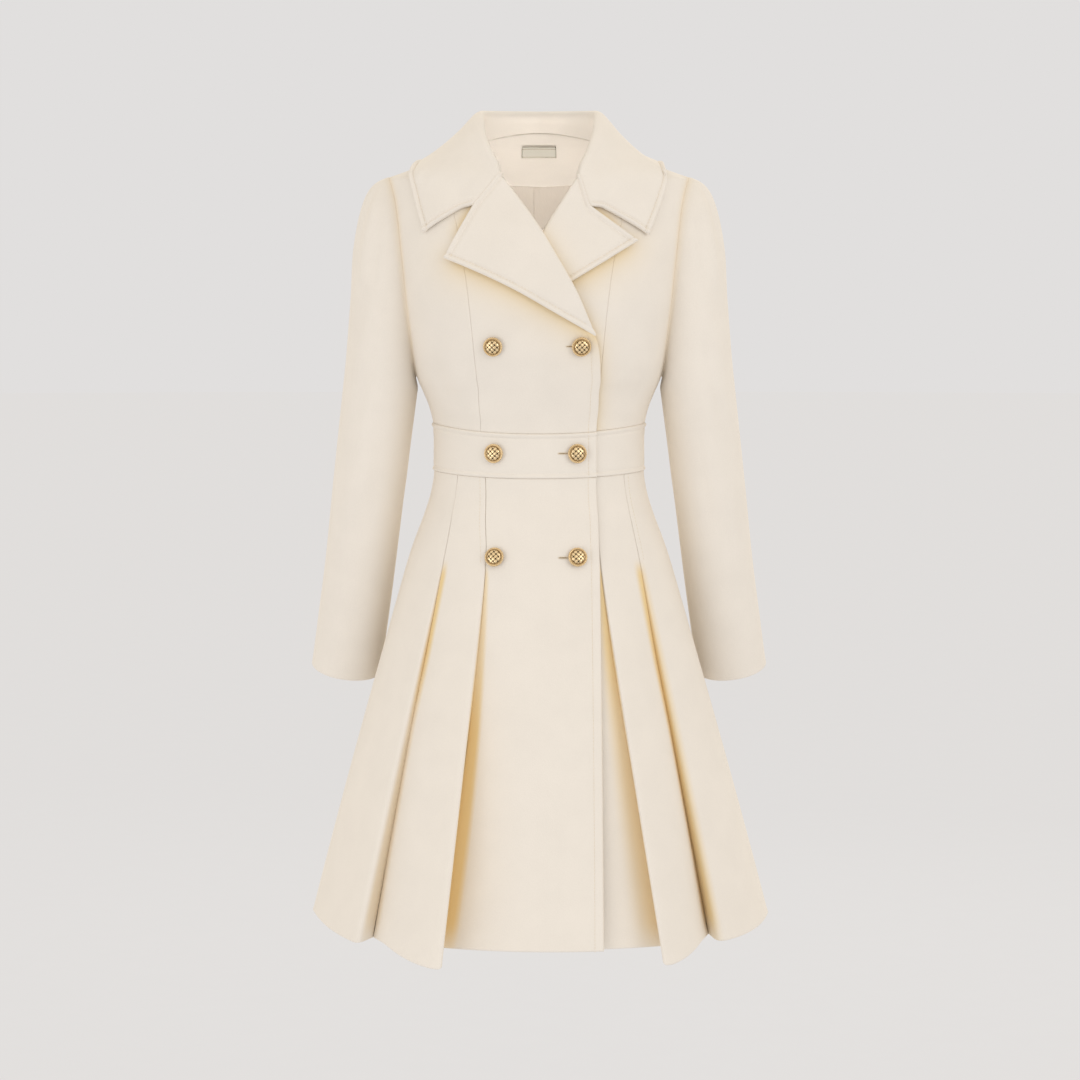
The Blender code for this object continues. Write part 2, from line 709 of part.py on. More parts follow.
def gore_rows(gore):
    """Outer plan rows of a gore from the waist to the hem, with the pleat fold and its return first."""
    waist_a, release_a, plan_a, drop = gore_end(gore.start)
    waist_b, release_b, plan_b, _ = gore_end(gore.end)
    waist_b = near_turn(waist_b, waist_a)
    release_b = near_turn(release_b, release_a)
    folded = gore.start in PLEATS and gore.name != "skirt_back_centre"
    if gore.end in PLEATS:
        end = PLEATS[gore.end]
        plan_b = np.array((end.valley_x, end.valley_y))
    if gore.start in PLEATS and not folded:
        start = PLEATS[gore.start]
        plan_a = np.array((start.valley_x, start.valley_y))
        drop = 0.0
    rise = lap if gore.laps else level
    q = np.linspace(0.0, 1.0, GORE_COLS)
    belly = np.array((gore.belly_x, gore.belly_y))
    ends = []
    for name, plan, tucked in ((gore.start, plan_a, not folded), (gore.end, plan_b, True)):
        gap = 0.0
        if name.startswith("side"):
            gap = SEAM
        elif tucked and name in PLEATS:
            gap = TUCK_GAP
        ends.append((plan + tuck_way(name, plan, belly, gap) * gap, gap))
    (plan_a, gap_a), (plan_b, gap_b) = ends
    hem = ((1 - q) ** 2)[:, None] * plan_a + (2 * q * (1 - q))[:, None] * belly + (q ** 2)[:, None] * plan_b
    droop = drop * np.maximum(1 - (q / HEM_DROOP_RUN) ** 2, 0.0)
    hem_z = HEM - droop + SIDE_LIFT.get(gore.end, 0.0) * q ** 2
    way = 1.0 if waist_b > waist_a else -1.0
    rows = []
    for share in np.linspace(0.0, 1.0, GORE_UPPER_ROWS):
        first = waist_a + (release_a - waist_a) * share
        last = waist_b + (release_b - waist_b) * share
        turn = np.linspace(first + way * seam_turn(gap_a), last - way * seam_turn(gap_b), GORE_COLS)
        top = waist_bottom(turn) - SEAM * 0.6
        z = top + (RELEASE - top) * share
        rows.append(body(turn, z) + body_normal(turn, z) * rise(turn, z)[:, None])
    release = rows[-1]
    shares = np.linspace(0.0, 1.0, GORE_LOWER_ROWS + 1)[1:]
    for share in shares:
        plan = release[:, :2] * (1 - share) + hem * share
        z = RELEASE * (1 - share) + hem_z * share
        if not folded and gore.start in PLEATS:
            plan[0] -= pleat_slant(PLEATS[gore.start]) * (share - share ** 2)
        if gore.end in PLEATS:
            plan[-1] -= pleat_slant(PLEATS[gore.end]) * (share - share ** 2)
        plan *= 1 + SKIRT_BOW * (share - share ** 2)
        rows.append(np.column_stack((plan, z)))
    if not folded:
        return np.array(rows), way
    pleat = PLEATS[gore.start]
    valley_hem = np.array((pleat.valley_x, pleat.valley_y))
    inward = pleat_inward(pleat)
    valleys = [row[0, :2] + inward * LIP for row in rows[:GORE_UPPER_ROWS]]
    for share in shares:
        valley = valleys[GORE_UPPER_ROWS - 1] * (1 - share) + valley_hem * share
        valley = valley - pleat_slant(pleat) * (share - share ** 2)
        valleys.append(valley * (1 + SKIRT_BOW * (share - share ** 2)))
    valley_z = [row[0, 2] for row in rows[:GORE_UPPER_ROWS]]
    valley_z.extend(RELEASE * (1 - shares) + HEM * shares)
    rows = [np.vstack((np.append(valley, z), row)) for valley, z, row in zip(valleys, valley_z, rows)]
    return np.array(rows), way


def build_skirt():
    """Eleven gores with the pleats folded towards the centres."""
    for gore in GORES:
        outer, way = gore_rows(gore)
        inner = outer.copy()
        for row in inner:
            row[:, :2] = plan_offset(row[:, :2], CLOTH * way)
        if gore.end.startswith("side"):
            inner[:, -1] = outer[:, -1]
            inner[:, -1, 0] -= np.sign(outer[:, -1, 0]) * CLOTH
        add_wall(gore.name, outer, inner, wool(gore.name))


def sleeve_ring(psi, share):
    """Point of the sleeve tube between the underarm and the cuff, and its downward direction."""
    places = np.linspace(0.0, 1.0, len(SLEEVE_SECTIONS))
    tracks = {}
    for name in ("x", "y", "z", "half_width", "half_depth"):
        tracks[name] = smooth_through(places, [getattr(row, name) for row in SLEEVE_SECTIONS])

    def centre(t):
        return np.stack((tracks["x"](t), tracks["y"](t), tracks["z"](t)), axis=-1)

    down = unit(centre(np.minimum(share + 0.01, 1.0)) - centre(np.maximum(share - 0.01, 0.0)))
    across = np.array((1.0, 0.0, 0.0)) - down * down[..., :1]
    across = unit(across)
    behind = np.cross(across, down)
    wide = (tracks["half_width"](share) * np.cos(psi))[..., None]
    deep = (tracks["half_depth"](share) * np.sin(psi))[..., None]
    return centre(share) + across * wide + behind * deep, down


def sleeve(psi, share):
    """Left sleeve: share 0 at the armhole, 1 at the underarm ring, 2 at the cuff."""
    psi, share = np.broadcast_arrays(psi, share)
    ring, down = sleeve_ring(psi, np.clip(share - 1.0, 0.0, 1.0))
    turn, z = armhole(np.mod(-psi, 2 * math.pi), 1.0, SEAM * 1.3)
    start = body(turn, z)
    crown = (1.0 + np.cos(psi)) / 2.0
    lead = CAP_LEAST + CAP_RISE * crown ** 2
    aim = np.stack((0.6 + 0.4 * crown, 0.6 * np.sin(psi), 0.0 * psi), axis=-1)
    leave = unit(aim) * lead[..., None]
    arrive = down * np.linalg.norm(ring - start, axis=-1, keepdims=True) * CAP_FALL
    t = np.clip(share, 0.0, 1.0)[..., None]
    cap = start * (1 + 2 * t) * (1 - t) ** 2 + ring * t * t * (3 - 2 * t)
    cap = cap + leave * t * (1 - t) ** 2 - arrive * t * t * (1 - t)
    return np.where(share[..., None] < 1.0, cap, ring)


def sleeve_normal(psi, share):
    """Outward direction of the sleeve, matching the body at the armhole."""
    psi, share = np.broadcast_arrays(psi, share)
    around = sleeve(psi + 0.002, share) - sleeve(psi - 0.002, share)
    along = sleeve(psi, np.minimum(share + 0.004, 2.0)) - sleeve(psi, np.maximum(share - 0.004, 0.0))
    own = unit(np.cross(along, around))
    turn, z = armhole(np.mod(-psi, 2 * math.pi), 1.0, SEAM * 1.3)
    blend = ease(share / 0.12)[..., None]
    return unit(body_normal(turn, z) * (1 - blend) + own * blend)


def build_sleeves():
    """Two-piece sleeves set into the armholes."""
    shares = np.concatenate((np.linspace(0.0, 1.0, CAP_ROWS), np.linspace(1.0, 2.0, TUBE_ROWS)[1:]))[:, None]
    pieces = (("top_sleeve", TOP_SLEEVE, TOP_SLEEVE_COLS), ("under_sleeve", UNDER_SLEEVE, UNDER_SLEEVE_COLS))
    for stem, (first, last), cols in pieces:
        margin = SEAM * 0.7 / 0.048
        psi = np.linspace(math.radians(first) + margin, math.radians(last) - margin, cols)[None, :]
        outer = sleeve(psi, shares)
        inner = outer - sleeve_normal(psi, shares) * CLOTH
        for hand, side in (("right", -1.0), ("left", 1.0)):
            mirror = np.array((side, 1.0, 1.0))
            name = hand + "_" + stem
            add_wall(name, outer * mirror, inner * mirror, wool(name))


def grid_normal(grid):
    """Directions square to a grid of points."""
    along = np.gradient(grid, axis=0)
    across = np.gradient(grid, axis=1)
    return unit(np.cross(along, across))


def over_body(x, z, rise, offset):
    """Front-view point laid on the front of the coat at an offset."""
    turn = turn_at(x, z)
    return body(turn, z) + body_normal(turn, z) * (rise(turn, z) + offset)[..., None]


def lapel_rows(plan, share):
    """Front-view rows of a lapel from the roll line to its lower edge."""
    roll = np.stack(bend(plan.brk, plan.roll_pull, plan.gorge, share), axis=-1)
    lower = np.stack(bend(plan.brk, plan.lower_pull, plan.tip, share), axis=-1)
    return roll, lower


def build_lapels():
    """Lapel facings that wrap the roll line and lie on the fronts."""
    for name, plan, rise in (("lapel_right", RIGHT_FRONT, lap), ("lapel_left", LEFT_FRONT, level)):
        share = np.linspace(plan.start, 1.0, LAPEL_ROWS)
        roll, lower = lapel_rows(plan, share)
        q = np.linspace(0.0, 1.0, LAPEL_COLS)
        notch = np.array(plan.notch)
        apart = notch - np.array(plan.gorge)
        chord = np.array(plan.tip) - np.array(plan.gorge)
        at = float(apart @ chord / (chord @ chord))
        kink = notch - (np.array(plan.gorge) + chord * at)
        tent = np.where(q < at, q / at, (1 - q) / (1 - at))
        flat = roll[:, None, :] + (lower - roll)[:, None, :] * q[None, :, None]
        flat = flat + kink * tent[None, :, None] * (share ** 4)[:, None, None]
        lie = LAPEL_OVER + LAPEL / 2 + 0.0006 * (1 - q) ** 4
        sheet = over_body(flat[..., 0], flat[..., 1], rise, np.broadcast_to(lie, flat.shape[:2]))
        root = over_body(roll[:, 0], roll[:, 1], rise, np.zeros(len(share)))
        turn = turn_at(roll[:, 0], roll[:, 1])
        normal = body_normal(turn, roll[:, 1])
        out = sheet[:, 1] - sheet[:, 0]
        out = unit(out - normal * (out * normal).sum(axis=1, keepdims=True))
        top = LAPEL_OVER + LAPEL / 2 + 0.0006
        hook = []
        for angle in np.radians((270.0, 225.0, 180.0, 135.0)):
            lift = top - LAPEL_ROLL + LAPEL_ROLL * math.sin(angle)
            hook.append(root + normal * lift + out * (LAPEL_ROLL * math.cos(angle) - HOOK_SET))
        middle = np.concatenate((np.stack(hook, axis=1), sheet), axis=1)
        across = grid_normal(middle)
        add_wall(name, middle + across * LAPEL / 2, middle - across * LAPEL / 2, wool(name))


def neckline(share, side):
    """Neck seam as turn and height: 0 at the centre back, 0.5 at the neck point, 1 at the gorge."""
    behind = np.clip(share / 0.5, 0.0, 1.0)
    ahead = np.clip((share - 0.5) / 0.5, 0.0, 1.0)
    gorge = RIGHT_FRONT.gorge
    x = float(HALF_WIDTH(NECK_SIDE)) * (1 - ahead) + abs(gorge.x) * ahead
    front_z = NECK_SIDE + (gorge.z - NECK_SIDE) * ahead
    back_z = NECK_SIDE + (NECK_BACK - NECK_SIDE) * np.cos(behind * math.pi / 2) ** 2
    z = np.where(share < 0.5, back_z, front_z)
    turn = np.where(share < 0.5, math.pi - behind * math.pi / 2, turn_at(x, front_z))
    return side * turn, z


def lie_clear(points, side, clearance, hug=False):
    """Points pushed out until they lie clear of the coat beneath, or drawn right down to it."""
    points = points.copy()
    for _ in range(6):
        far, direction = outside(points)
        turn = turn_at(points[..., 0], points[..., 2])
        rise = lap(turn, points[..., 2]) if side < 0 else 0.0
        rise = np.where(points[..., 1] < 0, rise, 0.0)
        short = clearance + rise - far
        if not hug:
            short = np.maximum(short, 0.0)
        points += direction * np.clip(short, -0.01, 0.01)[..., None]
    return points


def collar_half(plan):
    """Middle of the collar cloth for one half, from the centre back to the gorge."""
    side = plan.side
    rise = lap if side < 0 else level
    places = [row.share for row in COLLAR_STATIONS]
    share = np.linspace(0.0, COLLAR_END, COLLAR_STEPS * 3 + 1)

    def track(name):
        return smooth_through(places, [getattr(row, name) for row in COLLAR_STATIONS])(share)

    lay = track("lay")[:, None]
    roll = np.stack((side * track("roll_x"), track("roll_y"), track("roll_z")), axis=-1)
    edge_x = track("edge_x") + (abs(plan.collar_tip.x) - COLLAR_STATIONS[-1].edge_x) * lay[:, 0] ** 2
    edge_z = track("edge_z") + (plan.collar_tip.z - COLLAR_STATIONS[-1].edge_z) * lay[:, 0] ** 2
    edge_z = edge_z - plan.corner_drop * np.exp(-((share - 0.5) / 0.15) ** 2)
    edge_turn = np.where(share < 0.47, turn_at(edge_x, edge_z, 1), turn_at(edge_x, edge_z))
    edge = body(side * edge_turn, edge_z)
    turn, z = neckline(share, side)
    normal = body_normal(turn, z)
    seam = body(turn, z)
    away = unit(np.cross(normal, np.gradient(seam, axis=0)))
    away = away * np.sign(away[:, 2:])
    neck = seam + normal * NECK_SET + away * (NECK_GAP + (COLLAR_ROLL - NECK_GAP) * lay)
    end = seam[-1]
    roll[-1] = over_body(end[0], end[2], rise, np.array(OVER + COLLAR / 2 + 0.0006))
    along = unit(np.gradient(roll, axis=0))
    along[0] = (side, 0.0, 0.0)
    up = unit(np.array((0.0, 0.0, 1.0)) * (1 - lay) + normal * lay)
    out = unit(np.cross(up, along)) * side
    up = unit(np.cross(along, out)) * side
    kink_end = over_body(np.array(plan.collar_notch.x), np.array(plan.collar_notch.z), rise, np.array(0.002))
    rows = []
    for k in range(len(share)):
        centre = roll[k] - up[k] * COLLAR_ROLL
        foot = neck[k]
        fall = edge[k] - centre
        finish = math.atan2(max(fall @ out[k], 0.001), -(fall @ up[k]))
        arc = []
        for angle in np.linspace(math.pi, max(finish, 0.35), 5):
            arc.append(centre + (out[k] * math.cos(angle) + up[k] * math.sin(angle)) * COLLAR_ROLL)
        stand = [foot * (1 - t) + arc[0] * t for t in (0.0, 0.5)]
        chord = edge[k] - arc[-1]
        at = float((kink_end - arc[-1]) @ chord / (chord @ chord))
        kink = (kink_end - arc[-1] - chord * at) * float(lay[k, 0]) ** 6
        drape = []
        for t in np.linspace(0.0, 1.0, COLLAR_COLS)[1:]:
            tent = t / at if t < at else (1 - t) / (1 - at)
            drape.append(arc[-1] + chord * t + kink * max(tent, 0.0))
        drape = lie_clear(np.array(drape), side, COLLAR_CLEAR + COLLAR / 2)
        rows.append(np.concatenate((np.array(stand + arc), drape)))
    return np.array(rows)


def settle(middle, first):
    """Let the fall of the collar relax over the shoulders without sinking into the coat."""
    last = middle.shape[1] - 1
    middle = middle.copy()
    count = middle.shape[0]
    right = np.arange(count) < count // 2
    for _ in range(SETTLE_STEPS):
        calm = middle.copy()
        rows = (middle[:-2] + middle[2:]) / 2
        calm[1:-1, last] = (middle[1:-1, last] + rows[:, last]) / 2
        across = (middle[:, first - 1:last - 1] + middle[:, first + 1:last + 1]) / 2
        calm[1:-1, first:last] = (rows[:, first:last] + across[1:-1]) / 2
        for half, side in ((right, -1.0), (~right, 1.0)):
            calm[half, first:] = lie_clear(calm[half, first:], side, COLLAR_CLEAR + COLLAR / 2)
            calm[half, last] = lie_clear(calm[half, last], side, COLLAR_CLEAR + COLLAR / 2, True)
        middle = calm
    return middle


def build_collar():
    """Collar from the neck seam up the stand, over the roll and down the fall."""
    middle = np.concatenate((collar_half(RIGHT_FRONT)[:0:-1], collar_half(LEFT_FRONT)), axis=0)
    middle = settle(middle, middle.shape[1] - COLLAR_COLS + 2)
    across = grid_normal(middle)
    outer = middle + across * COLLAR / 2
    inner = middle - across * COLLAR / 2
    half = middle.shape[0] // 2
    add_wall("collar", outer, inner, wool("collar"), range(half, 2 * half))


def build_inside():
    """Back neck facing, back lining and a bare label, laid inside the points of the back panels."""
    right = back_grid(-1.0)[:, ::-1]
    left = back_grid(1.0)
    grid = np.concatenate((right[:, :-1], (right[:, -1:] + left[:, :1]) / 2, left[:, 1:]), axis=1)
    near = -CLOTH - OVER
    grid = grid.swapaxes(0, 1)
    facing = grid[FACING_COLS:-FACING_COLS, FACING_ROW:]
    half = range(facing.shape[0] // 2)
    cloth = wool("back_neck_facing")
    add_wall("back_neck_facing", *on_body(facing, level, near, near - FACING), cloth, half)
    lining = grid[1:-1, :FACING_ROW + 1].copy()
    lining[:, -1] += unit(lining[:, -2] - lining[:, -1]) * SEAM
    lining[:, 0] += unit(lining[:, 1] - lining[:, 0]) * LINING_HEM
    half = range(lining.shape[0] // 2)
    satin = paint("back_lining_satin", SATIN, 0.45)
    add_wall("back_lining", *on_body(lining, level, near, near - FACING), satin, half)
    x = np.linspace(-LABEL_WIDTH / 2, LABEL_WIDTH / 2, 5)[None, :]
    z = np.linspace(LABEL_LOW, LABEL_LOW + LABEL_HEIGHT, 3)[:, None]
    grid = body(turn_at(x, z, 1), z)
    near = near - FACING - LABEL_SET
    add_wall("neck_label", *on_body(grid, level, near, near - LABEL), paint("neck_label_tape", PALE, 0.7))


def build_buttons():
    """Turned shank buttons standing on the right front."""
    for button in BUTTONS:
        turn = float(turn_at(button.x, button.z))
        normal = body_normal(turn, button.z)
        raised = BAND_RAISE if "waist" in button.name else 0.0
        seat = body(turn, button.z) + normal * (float(lap(turn, button.z)) + raised + SEAM)
        across = unit(np.cross((0.0, 0.0, 1.0), normal))
        upward = np.cross(normal, across)
        mesh = bpy.data.meshes.new(button.name)
        shape = bmesh.new()
        rings = []
        for row in BUTTON_OUTLINE:
            ring = []
            for angle in np.linspace(0.0, 2 * math.pi, BUTTON_SIDES, endpoint=False):
                spoke = across * math.cos(angle) + upward * math.sin(angle)
                ring.append(shape.verts.new(tuple(seat + normal * row.height + spoke * row.radius)))
            rings.append(ring)
        for low, high in zip(rings, rings[1:]):
            for k in range(BUTTON_SIDES):
                j = (k + 1) % BUTTON_SIDES
                shape.faces.new((low[k], low[j], high[j], high[k]))
        shape.faces.new(rings[0][::-1])
        crown = shape.verts.new(tuple(seat + normal * BUTTON_CROWN))
        for k in range(BUTTON_SIDES):
            shape.faces.new((rings[-1][k], rings[-1][(k + 1) % BUTTON_SIDES], crown))
        bmesh.ops.recalc_face_normals(shape, faces=shape.faces)
        shape.to_mesh(mesh)
        shape.free()
        mesh.materials.append(paint(button.name + "_brass", BRASS, 0.35, 1.0))
        bpy.context.scene.collection.objects.link(bpy.data.objects.new(button.name, mesh))


def main():
    for item in list(bpy.data.objects):
        bpy.data.objects.remove(item, do_unlink=True)
    build_bodice()
    build_waistband()
    build_skirt()
    build_sleeves()
    build_collar()
    build_lapels()
    build_inside()
    build_buttons()


if __name__ == "__main__":
    main()
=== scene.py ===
"""Looks of a double-breasted princess coat in cream wool, laid out as an add-on and run as a script.

Metres, +Z up. The wearer faces -Y and the wearer's right is -X. Right and left are the wearer's own.
"""

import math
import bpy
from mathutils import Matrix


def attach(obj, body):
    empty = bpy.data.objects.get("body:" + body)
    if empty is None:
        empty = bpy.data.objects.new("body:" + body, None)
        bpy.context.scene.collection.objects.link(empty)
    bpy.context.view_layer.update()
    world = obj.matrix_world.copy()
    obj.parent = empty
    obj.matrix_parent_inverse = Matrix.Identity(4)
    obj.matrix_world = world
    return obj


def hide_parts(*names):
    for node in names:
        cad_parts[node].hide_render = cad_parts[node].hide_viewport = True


bl_info = {
    "name": "Princess Coat",
    "version": (1, 0, 0),
    "blender": (4, 5, 0),
    "location": "View3D > Sidebar > Coat",
    "description": "Builds a hollow, filled-out wool coat with its sewing, buttons and stage",
    "category": "Object",
}

from collections import namedtuple

import bpy
import numpy as np
from bpy.props import FloatProperty, FloatVectorProperty, IntProperty, PointerProperty
from mathutils import Vector

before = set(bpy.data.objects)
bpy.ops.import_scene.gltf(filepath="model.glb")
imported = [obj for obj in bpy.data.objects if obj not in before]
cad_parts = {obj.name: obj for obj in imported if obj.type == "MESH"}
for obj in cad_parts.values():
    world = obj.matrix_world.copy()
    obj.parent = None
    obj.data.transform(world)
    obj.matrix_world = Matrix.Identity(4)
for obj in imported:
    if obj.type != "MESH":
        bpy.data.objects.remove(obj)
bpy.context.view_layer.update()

# Cloth thicknesses, and the gap left at every seam
CLOTH = 0.0024
BAND = 0.0030
LAPEL = 0.0028
COLLAR = 0.0034
FACING = 0.0012
LABEL = 0.0008
SEAM = 0.0003
MEET = 0.00006

# Heights of the seams that run round the body
WAIST_TOP = -0.2905
WAIST_TOP_DIP = 0.0090
WAIST_BOTTOM = -0.3470
WAIST_BOTTOM_DIP = 0.0055
BAND_RAISE = 0.0010
RELEASE = -0.446
HEM = -0.8863
HEM_DROOP_RUN = 0.79
SKIRT_BOW = 0.035
NECK_BACK = 0.058
NECK_SIDE = 0.044
MID_SHOULDER = 0.0185

# Shares of a bodice panel's height, and how low the neck facing reaches at the centre back
UNDERARM_SHARE = 0.20
BREAK_SHARE = 0.36
BREAK_SOFT = 0.05
FACING_SHARE = 0.84
FACING_LOW = -0.0075

# Shares at which the neck point lies on the front's top edge, on the back's top edge and on the neck seam
FRONT_NECK = 0.5
BACK_NECK = 0.4
NECK_POINT = 0.5

# Armhole, an upright loop on the side of the body
ARMHOLE_TOP = 0.0
ARMHOLE_BOTTOM = -0.236
ARMHOLE_FRONT = 0.052
ARMHOLE_BACK = 0.054
LOOP_END = 0.0001
ARMHOLE_POINTS = 160

# How far the right front rides above the body where it laps over the left front
LAP = 0.0040
LAPEL_SWELL = 0.0036
SWELL_CENTRE = (0.015, -0.095)
SWELL_FLAT = 0.045
SWELL_EDGE = 0.095
LAP_START = math.radians(66)
LAP_RUN = math.radians(40)
LAP_FADE = -0.01
LAP_FADE_RUN = 0.06

# Roll of the lapels and of the collar, measured to the middle of the cloth
LAPEL_ROLL = 0.0019
LAPEL_OVER = 0.0008
HOOK_SET = 0.0010
LAPEL_BLOOM = 0.0030
LAPEL_LIFT = 0.0022
COLLAR_ROLL = 0.0038
COLLAR_LIFT = 0.0013
OVER = 0.0004
COLLAR_CLEAR = 0.0011
NECK_SET = -0.0020
NECK_GAP = 0.0018
COLLAR_END = 0.955

# Grids of the collar and the lapels, and how they turn, settle, lie clear, bloom and thin
COLLAR_ROWS = 19
COLLAR_COLS = 8
COLLAR_TURN = 0.47
CORNER_RUN = 0.15
ROLL_STEPS = 5
LEAST_FALL = 0.001
LEAST_TURN = 0.35
ROLL_OVER = 0.0006
NOTCH_LIFT = 0.002
SETTLE_STEPS = 3
CLEAR_STEPS = 6
CLEAR_MOST = 0.01
LAPEL_THIN = 0.25
LAPEL_THIN_RUN = 0.24
LAPEL_BLOOM_RUN = 0.30
HOOK_TURN = (270.0, 98.0)
HOOK_COLS = 14

# Gorge seam: lapel rows that give its direction, first column past the hook, and points on a drawn line
GORGE_ROWS = (0.985, 0.993)
GORGE_COLS = 30
GORGE_FIRST = 7
LINE_POINTS = 60

# Where the collar is drawn onto the gorge seam, and how its neck edge is let down
JOIN_FADE = 0.012
JOIN_REACH = 0.030
JOIN_END = 0.002
NECK_COLS = 8
NECK_AIM = 12
NECK_DOWN = 0.0026
FALL_START = 0.55

# Inside of the back: lining as shares of a back panel, its ease pleat, and the label
LINING_WIDTH = 0.9
LINING_LOW = 0.006
LINING_UNDER = 0.012
LINING_FADE = 0.03
LINING_SET = 0.0004
EASE_PLEAT_X = -0.005
EASE_PLEAT = 0.0018
EASE_PLEAT_SOFT = 0.010
EASE_PLEAT_CRISP = 0.0007
EASE_PLEAT_LOW = -0.25
EASE_PLEAT_RUN = 0.15
FACING_GRID = (26, 30)
LINING_GRID = (70, 70)
LINING_CROWD = 1.6
LABEL_GRID = (30, 14)
LABEL_WIDTH = 0.044
LABEL_HEIGHT = 0.013
LABEL_LOW = 0.0295
LABEL_SET = 0.0012
LABEL_LINE = 0.0014
LABEL_LINE_HALF = 0.0003

# Skirt gores: the lip where a pleat is stitched shut, its topstitch, the pressed fold and the hem
LIP = 0.0031
LIP_STITCH = 0.0086
TUCK_GAP = -0.0010
PRESSED = 0.45
PRESSED_RUN = 0.014
CREASE_FADE = 0.030
FOLD_AIM = 9
FOLD_LEG = 0.45
SLANT_POWER = 6
PLEAT_TOP = -0.355
WAIST_RADIUS = 0.12
HEM_SOFT = 0.02
HEM_FACING = 0.042
PLEAT_FACING = 0.030

# Easing of the bend over the shoulders and of the skirt where the pleats let go
SHOULDER_EASE = 0.5
SHOULDER_REACH = 0.012
SHOULDER_STEPS = 16
RELEASE_EASE = 0.8
RELEASE_REACH = 0.030
RELEASE_STEPS = 14

# Small steps for measuring directions, and the steps that draw a point onto the form
SMALL_TURN = 0.001
SMALL_STEP = 0.0002
FORM_STEPS = 8
SLEEVE_TURN_STEP = 0.002
SLEEVE_SHARE_STEP = 0.004
SLEEVE_AXIS_STEP = 0.01

Ring = namedtuple("Ring", "z half_width front back square")
BODY_RINGS = (
    Ring(-0.458, 0.1590, 0.119, 0.118, 2.1),
    Ring(-0.434, 0.1506, 0.112, 0.110, 2.1),
    Ring(-0.398, 0.1368, 0.103, 0.099, 2.2),
    Ring(-0.370, 0.1285, 0.096, 0.090, 2.2),
    Ring(-0.350, 0.1255, 0.094, 0.087, 2.2),
    Ring(-0.310, 0.1248, 0.094, 0.086, 2.2),
    Ring(-0.290, 0.1266, 0.096, 0.087, 2.2),
    Ring(-0.272, 0.1308, 0.100, 0.089, 2.3),
    Ring(-0.254, 0.1380, 0.105, 0.092, 2.3),
    Ring(-0.236, 0.1455, 0.111, 0.095, 2.4),
    Ring(-0.200, 0.1535, 0.121, 0.101, 2.5),
    Ring(-0.150, 0.1625, 0.127, 0.107, 2.5),
    Ring(-0.100, 0.1695, 0.119, 0.110, 2.5),
    Ring(-0.050, 0.1755, 0.103, 0.108, 2.4),
    Ring(0.000, 0.1780, 0.085, 0.100, 2.2),
    Ring(0.004, 0.1675, 0.083, 0.098, 2.2),
    Ring(0.015, 0.1380, 0.078, 0.094, 2.1),
    Ring(0.030, 0.1020, 0.072, 0.088, 2.0),
    Ring(0.045, 0.0790, 0.066, 0.082, 2.0),
    Ring(0.075, 0.0700, 0.060, 0.074, 2.0),
)

# Front edge, roll line, gorge, lapel outline and collar end, seen from the front
Point = namedtuple("Point", "x z")
FrontPlan = namedtuple(
    "FrontPlan",
    "side start edge_pull brk roll_pull gorge notch tip lower_pull collar_notch collar_tip corner_drop",
)
RIGHT_FRONT = FrontPlan(
    side=-1.0,
    start=0.006,
    edge_pull=Point(0.0755, -0.2078),
    brk=Point(0.0650, -0.1860),
    roll_pull=Point(0.0104, -0.0765),
    gorge=Point(-0.0478, -0.0010),
    notch=Point(-0.0745, -0.0350),
    tip=Point(-0.1073, -0.0974),
    lower_pull=Point(-0.0190, -0.1350),
    collar_notch=Point(-0.0760, -0.0335),
    collar_tip=Point(-0.1310, -0.0680),
    corner_drop=-0.002,
)
LEFT_FRONT = FrontPlan(
    side=1.0,
    start=0.42,
    edge_pull=Point(-0.0575, -0.2400),
    brk=Point(-0.0650, -0.1860),
    roll_pull=Point(-0.0059, -0.0891),
    gorge=Point(0.0480, -0.0030),
    notch=Point(0.0585, -0.0365),
    tip=Point(0.1135, -0.0770),
    lower_pull=Point(0.0240, -0.1330),
    collar_notch=Point(0.0600, -0.0325),
    collar_tip=Point(0.1255, -0.0705),
    corner_drop=0.011,
)
EDGE_WAIST_X = 0.0660
UNDERLAP_WAIST_X = -0.0500

# Princess seam from the waist to the middle of the shoulder
Station = namedtuple("Station", "share x z")
PRINCESS = (
    Station(0.00, 0.0675, WAIST_TOP),
    Station(0.40, 0.0770, -0.175),
    Station(0.70, 0.0880, -0.090),
    Station(0.88, 0.1050, -0.024),
    Station(1.00, 0.1296, MID_SHOULDER),
)

# Collar stations from the centre back round to the gorge, one half; share runs along the neckline
Collar = namedtuple("Collar", "name share roll_x roll_y roll_z edge_x edge_z lay")
COLLAR_STATIONS = (
    Collar("centre_back", 0.00, 0.0000, 0.074, 0.0813, 0.0000, 0.012, 0.0),
    Collar("back", 0.17, 0.0400, 0.063, 0.0811, 0.0800, 0.012, 0.0),
    Collar("back_side", 0.34, 0.0645, 0.036, 0.0800, 0.1290, 0.010, 0.0),
    Collar("side", 0.50, 0.0705, 0.004, 0.0765, 0.1440, 0.0125, 0.0),
    Collar("shoulder", 0.67, 0.0685, -0.038, 0.0560, 0.1490, 0.000, 0.25),
    Collar("front", 0.84, 0.0605, -0.066, 0.0310, 0.1440, -0.028, 0.60),
    Collar("gorge", COLLAR_END, 0.0475, -0.083, 0.0060, 0.1310, -0.068, 1.0),
)

